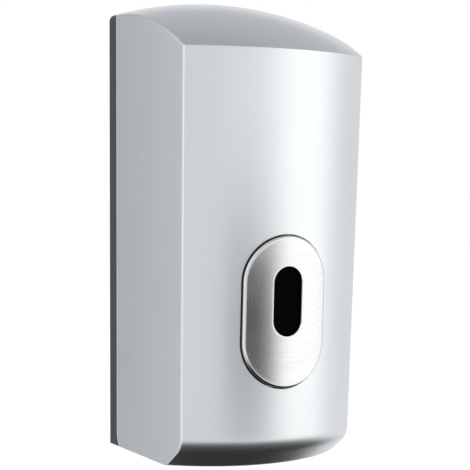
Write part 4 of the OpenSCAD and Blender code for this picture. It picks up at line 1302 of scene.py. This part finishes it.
# %% Rib tree
rib_tree, given, out = new_tree("grip_ribs", {"Rib Count": 24, "Ring Radius": 0.016, "Rib Radius": 0.001,
                                              "Rib Length": 0.012, "Tip": 0.0})
seed_ball = wire(rib_tree, "GeometryNodeMeshUVSphere", [("Radius", given.outputs["Rib Radius"])],
                 Segments=12, Rings=8)
position = wire(rib_tree, "GeometryNodeInputPosition")
at = wire(rib_tree, "ShaderNodeSeparateXYZ", [(0, position.outputs[0])])
half = maths(rib_tree, "SUBTRACT", maths(rib_tree, "MULTIPLY", given.outputs["Rib Length"], 0.5),
             given.outputs["Rib Radius"])
stretch_by = maths(rib_tree, "MULTIPLY", maths(rib_tree, "SIGN", at.outputs["Z"]), half)
stretch_vector = wire(rib_tree, "ShaderNodeCombineXYZ", [("Z", stretch_by)])
rod = wire(rib_tree, "GeometryNodeSetPosition",
           [("Geometry", seed_ball.outputs["Mesh"]), ("Offset", stretch_vector.outputs[0])])
rib_ring = wire(rib_tree, "GeometryNodeMeshCircle",
                [("Vertices", given.outputs["Rib Count"]), ("Radius", given.outputs["Ring Radius"])])
ribs_round = wire(rib_tree, "GeometryNodeInstanceOnPoints",
                  [("Points", rib_ring.outputs[0]), ("Instance", rod.outputs[0])])
place_and_finish(rib_tree, given, out, ribs_round.outputs[0])
print("rib tree:", len(rib_tree.nodes), "nodes")

# %% Joining a body and its ribs
def one_mesh(name, pieces):
    """Joins finished pieces into one that keeps the first one's finish."""
    work = bmesh.new()
    for piece in pieces:
        work.from_mesh(piece.data)
    mesh = bpy.data.meshes.new(name)
    work.to_mesh(mesh)
    work.free()
    mesh.materials.append(pieces[0].data.materials[0])
    for piece in pieces:
        bpy.data.objects.remove(piece)
    mesh.set_sharp_from_angle(angle=math.radians(35.0))
    joined = bpy.data.objects.new(name, mesh)
    bpy.context.scene.collection.objects.link(joined)
    return joined


print("helper: one_mesh")

# %% Ribbed pieces
def ribbed(name, node, slot, profile, centre, axis, ring_r, rib_r, low, high, count_round):
    """A turned body from a closed (radius, height) profile, with ribs from low to high round its rim."""
    points, faces = turned(profile, centre, axis, 72)
    body = make_piece(name + "_body", points, faces, sharp=35.0)
    body.data.materials.append(finishes[slot])
    middle = list(centre)
    middle[{"z": 2, "y": 1}[axis]] = (low + high) / 2
    ribs = grow_piece(name + "_ribs", rib_tree, [tuple(middle)], finishes[slot],
                      **{"Rib Count": count_round, "Ring Radius": ring_r * MM, "Rib Radius": rib_r * MM,
                         "Rib Length": (high - low) * MM, "Tip": FORWARD if axis == "y" else 0.0})
    piece = one_mesh(name, [body, ribs])
    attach(piece, "root")
    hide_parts(node)
    print(name, len(piece.data.vertices), "points,", open_edges(piece), "open edges")


print("helper: ribbed")

# %% Nuts
def ring_profile(outer_r, low, high, bores, soft=0.6):
    """Profile of a ring: its outside with softened ends, then its bores as (radius, from, to)."""
    loop = [(outer_r - soft, low), (outer_r - soft * 0.3, low + soft * 0.3), (outer_r, low + soft),
            (outer_r, high - soft), (outer_r - soft * 0.3, high - soft * 0.3), (outer_r - soft, high)]
    for r, start, end in bores:
        loop += [(r, start), (r, end)]
    return loop


# Each nut has a wide thread bore from the top and a narrow bore through its inward collar
UNION_R, UNION_LOW, UNION_HIGH = 16.2, 69.0, 84.0
ribbed("union_nut_ribbed", "union_nut", "dark_plastic",
       ring_profile(UNION_R, UNION_LOW, UNION_HIGH,
                    [(12.95, UNION_HIGH, UNION_LOW + 2.5), (10.3, UNION_LOW + 2.5, UNION_LOW)]),
       (0, NOZZLE_Y, 0), "z", UNION_R, 1.0, UNION_LOW + 1.2, UNION_HIGH - 1.2, 28)
LOWER_R, LOWER_LOW, LOWER_HIGH = 10.95, 22.0, 37.0
ribbed("nozzle_nut_ribbed", "nozzle_nut", "dark_plastic",
       ring_profile(LOWER_R, LOWER_LOW, LOWER_HIGH,
                    [(8.05, LOWER_HIGH, LOWER_LOW + 2.5), (5.6, LOWER_LOW + 2.5, LOWER_LOW)]),
       (0, NOZZLE_Y, 0), "z", LOWER_R, 0.8, LOWER_LOW + 1.2, LOWER_HIGH - 1.2, 24)

# %% Pump's end cap
CAP_FRONT, CAP_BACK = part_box("pump_end_cap")[0][1] / MM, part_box("pump_end_cap")[1][1] / MM
CAP_R, CAP_WALL = 12.8, 3.0
ribbed("pump_cap_ribbed", "pump_end_cap", "dark_plastic",
       ring_profile(CAP_R, CAP_FRONT, CAP_BACK,
                    [(10.55, CAP_BACK, CAP_FRONT + CAP_WALL), (3.55, CAP_FRONT + CAP_WALL, CAP_FRONT)]),
       (0, 0, PUMP_Z), "y", CAP_R, 0.85, CAP_FRONT + 1.2, CAP_BACK - 0.8, 24)
print("end cap from", round(CAP_FRONT, 1), "to", round(CAP_BACK, 1), "mm")

# %% [markdown]
# ## Softened mouldings
# An injection moulded part never has a knife edge: the tool leaves a small radius that catches the light.
# The engineering shapes are right but sharp, so each visible moulding gets a copy whose outward edges
# are bevelled by a few tenths of a millimetre. Weighted normals then keep the flat faces flat.

# %% Softened copies
def softened(node, body, width, slot, steps=2, angle=40.0):
    """A copy of a node with its points merged, its flat faces made whole and its outward edges rounded."""
    work = bmesh.new()
    work.from_mesh(nodes[node].data)
    bmesh.ops.remove_doubles(work, verts=work.verts, dist=2e-6)
    bmesh.ops.dissolve_limit(work, angle_limit=math.radians(0.6), verts=work.verts, edges=work.edges,
                             use_dissolve_boundaries=False)
    edges = [e for e in work.edges if len(e.link_faces) == 2 and e.is_convex
             and e.calc_face_angle() > math.radians(angle)]
    bmesh.ops.bevel(work, geom=edges, offset=width * MM, segments=steps, profile=0.5, affect="EDGES",
                    clamp_overlap=True, loop_slide=True)
    for face in work.faces:
        face.smooth = True
    mesh = bpy.data.meshes.new(node + "_softened")
    work.to_mesh(mesh)
    work.free()
    mesh.set_sharp_from_angle(angle=math.radians(50.0))
    piece = bpy.data.objects.new(node + "_softened", mesh)
    bpy.context.scene.collection.objects.link(piece)
    weighted = piece.modifiers.new("weighted", "WEIGHTED_NORMAL")
    weighted.keep_sharp = True
    plain_mesh = bpy.data.meshes.new_from_object(piece.evaluated_get(bpy.context.evaluated_depsgraph_get()))
    piece.modifiers.remove(weighted)
    piece.data = plain_mesh
    piece.data.materials.clear()
    piece.data.materials.append(finishes[slot])
    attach(piece, body)
    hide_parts(node)
    print(node, "softened edges:", len(edges), "open edges:", open_edges(piece))


print("helper: softened")

# %% Softened mouldings
# Each row: the node, its body, the width of its bevel in millimetres and its slot
SOFTENED = (
    ("back_plate", "root", 0.5, "base_grey"),
    ("latch_tongue", "root", 0.25, "white_plastic"),
    ("tank", "root", 0.6, "tank_plastic"),
    ("tank_deck", "root", 0.4, "white_plastic"),
    ("filler_flap", "flap", 0.35, "white_plastic"),
    ("pump_body", "root", 0.3, "white_plastic"),
    ("nozzle", "root", 0.25, "base_grey"),
    ("guide_frame", "cover", 0.35, "base_grey"),
    ("window_retainer", "push_button", 0.2, "base_grey"),
    ("plunger", "pump_plunger", 0.25, "white_plastic"),
)
for node, body, width, slot in SOFTENED:
    softened(node, body, width, slot)
print("softened mouldings:", len(SOFTENED))

# %% [markdown]
# ## Studio
# The background is white wherever the lens or a shiny surface looks past the object,
# while the light that falls on it stays at a plain level, so colours come out about as written.
# Panels stand far off and out of the lens's sight: shiny surfaces show them and dull ones hardly notice.

# %% White room
AMBIENT = 0.44


def seen_by_shine(tree):
    """The light path node, and a socket that is 1 for the lens, for shiny surfaces and through clear ones."""
    rays = tree.nodes.new("ShaderNodeLightPath")
    seen = maths(tree, "MAXIMUM", rays.outputs["Is Camera Ray"], rays.outputs["Is Glossy Ray"])
    return rays, maths(tree, "MAXIMUM", seen, rays.outputs["Is Transmission Ray"])


world = bpy.data.worlds.new("white_room")
bpy.context.scene.world = world
world.use_nodes = True
tree = world.node_tree
tree.nodes.clear()
rays, seen = seen_by_shine(tree)
room_level = wire(tree, "ShaderNodeMapRange", [("Value", seen)], **{"To Min": AMBIENT, "To Max": 1.0})
background = wire(tree, "ShaderNodeBackground", [("Strength", room_level.outputs["Result"])],
                  Color=(1.0, 1.0, 1.0, 1.0))
wire(tree, "ShaderNodeOutputWorld", [("Surface", background.outputs[0])])
print("room nodes:", len(tree.nodes))

# %% [markdown]
# ## Floor
# The floor glows a little for the lens and for shiny surfaces, so that it stays white as the world does,
# and its dull part still takes the shadow. Right below the dispenser shiny surfaces find it dark,
# which draws the dark band along the cover's toe.

# %% Pale floor
FLOOR_Z, FLOOR_SPAN, FLOOR_GLOW = -0.46, 14.0, 0.68
DARK_MIDDLE, DARK_INNER, DARK_OUTER = (0.0, -0.26, FLOOR_Z), 0.38, 0.72


def sheet_at(name, centre, across, up, width, height):
    """A flat studio panel, given its middle and two directions in its plane."""
    c, a, b = Vector(centre), Vector(across).normalized() * width / 2, Vector(up).normalized() * height / 2
    mesh = bpy.data.meshes.new(name)
    mesh.from_pydata([c - a - b, c + a - b, c + a + b, c - a + b], [], [(0, 1, 2, 3)])
    panel = bpy.data.objects.new(name, mesh)
    bpy.context.scene.collection.objects.link(panel)
    return panel


floor = sheet_at("studio_floor", (0, 0, FLOOR_Z), (1, 0, 0), (0, 1, 0), FLOOR_SPAN, FLOOR_SPAN)
pale = bpy.data.materials.new("pale_floor")
pale.use_nodes = True
tree = pale.node_tree
tree.nodes.clear()
rays, seen = seen_by_shine(tree)
place = tree.nodes.new("ShaderNodeTexCoord")
shift = wire(tree, "ShaderNodeVectorMath", [(0, place.outputs["Object"])], operation="SUBTRACT")
shift.inputs[1].default_value = DARK_MIDDLE
radius = wire(tree, "ShaderNodeVectorMath", [(0, shift.outputs["Vector"])], operation="LENGTH")
beyond = wire(tree, "ShaderNodeMapRange", [("Value", radius.outputs["Value"])],
              interpolation_type="SMOOTHSTEP", **{"From Min": DARK_INNER, "From Max": DARK_OUTER})
light_share = maths(tree, "MAXIMUM", beyond.outputs["Result"], rays.outputs["Is Camera Ray"])
tone = wire(tree, "ShaderNodeMix", [(0, light_share)], data_type="RGBA")
tone.inputs[6].default_value = (0.01, 0.01, 0.012, 1.0)
tone.inputs[7].default_value = (0.8, 0.8, 0.8, 1.0)
dull = wire(tree, "ShaderNodeBsdfDiffuse", [("Color", tone.outputs[2])])
glow_level = maths(tree, "MULTIPLY", maths(tree, "MULTIPLY", seen, light_share), FLOOR_GLOW)
glow = wire(tree, "ShaderNodeEmission", [("Strength", glow_level)])
both = wire(tree, "ShaderNodeAddShader", [(0, dull.outputs[0]), (1, glow.outputs[0])])
wire(tree, "ShaderNodeOutputMaterial", [("Surface", both.outputs[0])])
floor.data.materials.append(pale)
print("floor at", FLOOR_Z, "m, nodes:", len(tree.nodes))

# %% [markdown]
# ## Panels that only reflections show
# A bright panel to the right of the front makes the broad stripe. A wide one low in front lifts the plate,
# and a dark one nearer than it darkens the plate's left. A tall one at the left lights the cover's edge,
# a ramp shades the side, and two dim ones high behind grade the crown. Their borders fade out softly.

# %% Panels seen only in reflections
AIM = Vector((0, -0.06, 0))


def toward(azimuth, elevation):
    """Unit vector: azimuth 0 is straight out from the dispenser's front, 90 to its right."""
    a, e = math.radians(azimuth), math.radians(elevation)
    return Vector((math.sin(a) * math.cos(e), -math.cos(a) * math.cos(e), math.sin(e)))


def reflected_panel(name, centre, across, up, size, level, soft, colour=(1.0, 1.0, 1.0), far_level=None):
    """A glowing sheet that only shiny surfaces find. soft holds the shares of its half size over which it
    fades out at its left, right, bottom and top. With far_level its glow runs from level at the left
    to far_level at the right."""
    panel = sheet_at(name, centre, across, up, *size)
    uv = panel.data.uv_layers.new(name="panel_uv")
    for loop, corner in zip(uv.data, ((-1, -1), (1, -1), (1, 1), (-1, 1))):
        loop.uv = corner
    material = bpy.data.materials.new(name)
    material.use_nodes = True
    tree = material.node_tree
    tree.nodes.clear()
    place = tree.nodes.new("ShaderNodeTexCoord")
    parts = tree.nodes.new("ShaderNodeSeparateXYZ")
    tree.links.new(place.outputs["UV"], parts.inputs[0])
    panel_share = 1.0
    for side, end, share in (("X", -1, soft[0]), ("X", 1, soft[1]), ("Y", -1, soft[2]), ("Y", 1, soft[3])):
        low, high = sorted((end, end * (1.0 - share)))
        dim, full = (0.0, 1.0) if end < 0 else (1.0, 0.0)
        fade = wire(tree, "ShaderNodeMapRange", [("Value", parts.outputs[side])],
                    interpolation_type="SMOOTHSTEP",
                    **{"From Min": low, "From Max": high, "To Min": dim, "To Max": full})
        panel_share = maths(tree, "MULTIPLY", panel_share, fade.outputs["Result"])
    glow = tree.nodes.new("ShaderNodeEmission")
    glow.inputs["Color"].default_value = (*colour, 1.0)
    glow.inputs["Strength"].default_value = level
    if far_level is not None:
        ramp = wire(tree, "ShaderNodeMapRange", [("Value", parts.outputs["X"])],
                    **{"From Min": -1.0, "From Max": 1.0, "To Min": level, "To Max": far_level})
        tree.links.new(ramp.outputs["Result"], glow.inputs["Strength"])
    clear = tree.nodes.new("ShaderNodeBsdfTransparent")
    blend = wire(tree, "ShaderNodeMixShader", [(0, panel_share), (1, clear.outputs[0]), (2, glow.outputs[0])])
    wire(tree, "ShaderNodeOutputMaterial", [("Surface", blend.outputs[0])])
    panel.data.materials.append(material)
    panel.visible_camera = panel.visible_shadow = False
    panel.visible_diffuse = panel.visible_transmission = False


def panel_at(name, azimuth, elevation, wide, tall, level, soft, away, **more):
    """A panel that faces the dispenser: wide and tall are the angles that it fills, in degrees."""
    d = toward(azimuth, elevation)
    across = Vector((math.cos(math.radians(azimuth)), math.sin(math.radians(azimuth)), 0.0))
    size = [2 * away * math.tan(math.radians(v / 2)) for v in (wide, tall)]
    reflected_panel(name, d * away + AIM, across, across.cross(d), size, level, soft, **more)


print("a panel straight ahead faces", [round(v, 2) for v in toward(0, 0)])

# %% Panels in their places
COOL, WARM = (0.925, 0.95, 1.0), (1.0, 0.988, 0.975)
panel_at("bright_panel", 41, 2, 63, 100, 1.86, (0.75, 0.65, 0.15, 0.15), 1.0, colour=WARM)
panel_at("lift_panel", 6, -15, 56, 50, 1.65, (0.4, 0.4, 0.4, 0.7), 1.1)
panel_at("dark_panel", 6, -10.8, 50, 18.5, 0.0, (0.35, 0.95, 0.3, 0.3), 0.8)
panel_at("edge_panel", -94, 0, 58, 110, 1.6, (0.5, 0.5, 0.1, 0.1), 1.2)
reflected_panel("side_ramp", (-0.22, 0.28, 0.0), (0, 1, 0), (0, 0, 1), (0.62, 1.0), 1.25,
                (0.05, 0.05, 0.05, 0.05), colour=COOL, far_level=0.0)
panel_at("roof_panel", 150, 55, 100, 60, 0.68, (0.3, 0.3, 0.3, 0.3), 3.0, colour=COOL)
panel_at("roof_shade", 140, 78, 100, 40, 0.46, (0.3, 0.3, 0.6, 0.3), 1.6, colour=COOL)
print("panels in place")

# %% [markdown]
# ## Soft lamps
# The room's light comes from everywhere and gives dull pieces little shape, so two large lamps
# add a gentle fall of light. Shiny surfaces don't show them, because the panels serve those.

# %% Soft lamps
def lamp(name, azimuth, elevation, distance, size, watts):
    """A square lamp that faces the dispenser and that shiny surfaces don't show."""
    data = bpy.data.lights.new(name, "AREA")
    data.shape, data.size, data.energy = "SQUARE", size, watts
    piece = bpy.data.objects.new(name, data)
    d = toward(azimuth, elevation)
    piece.matrix_world = Matrix.Translation(d * distance) @ d.to_track_quat("Z", "Y").to_matrix().to_4x4()
    piece.visible_glossy = False
    piece.visible_camera = False
    bpy.context.scene.collection.objects.link(piece)


lamp("key_lamp", 25, 38, 1.8, 0.9, 10.0)
lamp("fill_lamp", -75, 20, 1.8, 1.0, 5.0)
print("lamps in place")
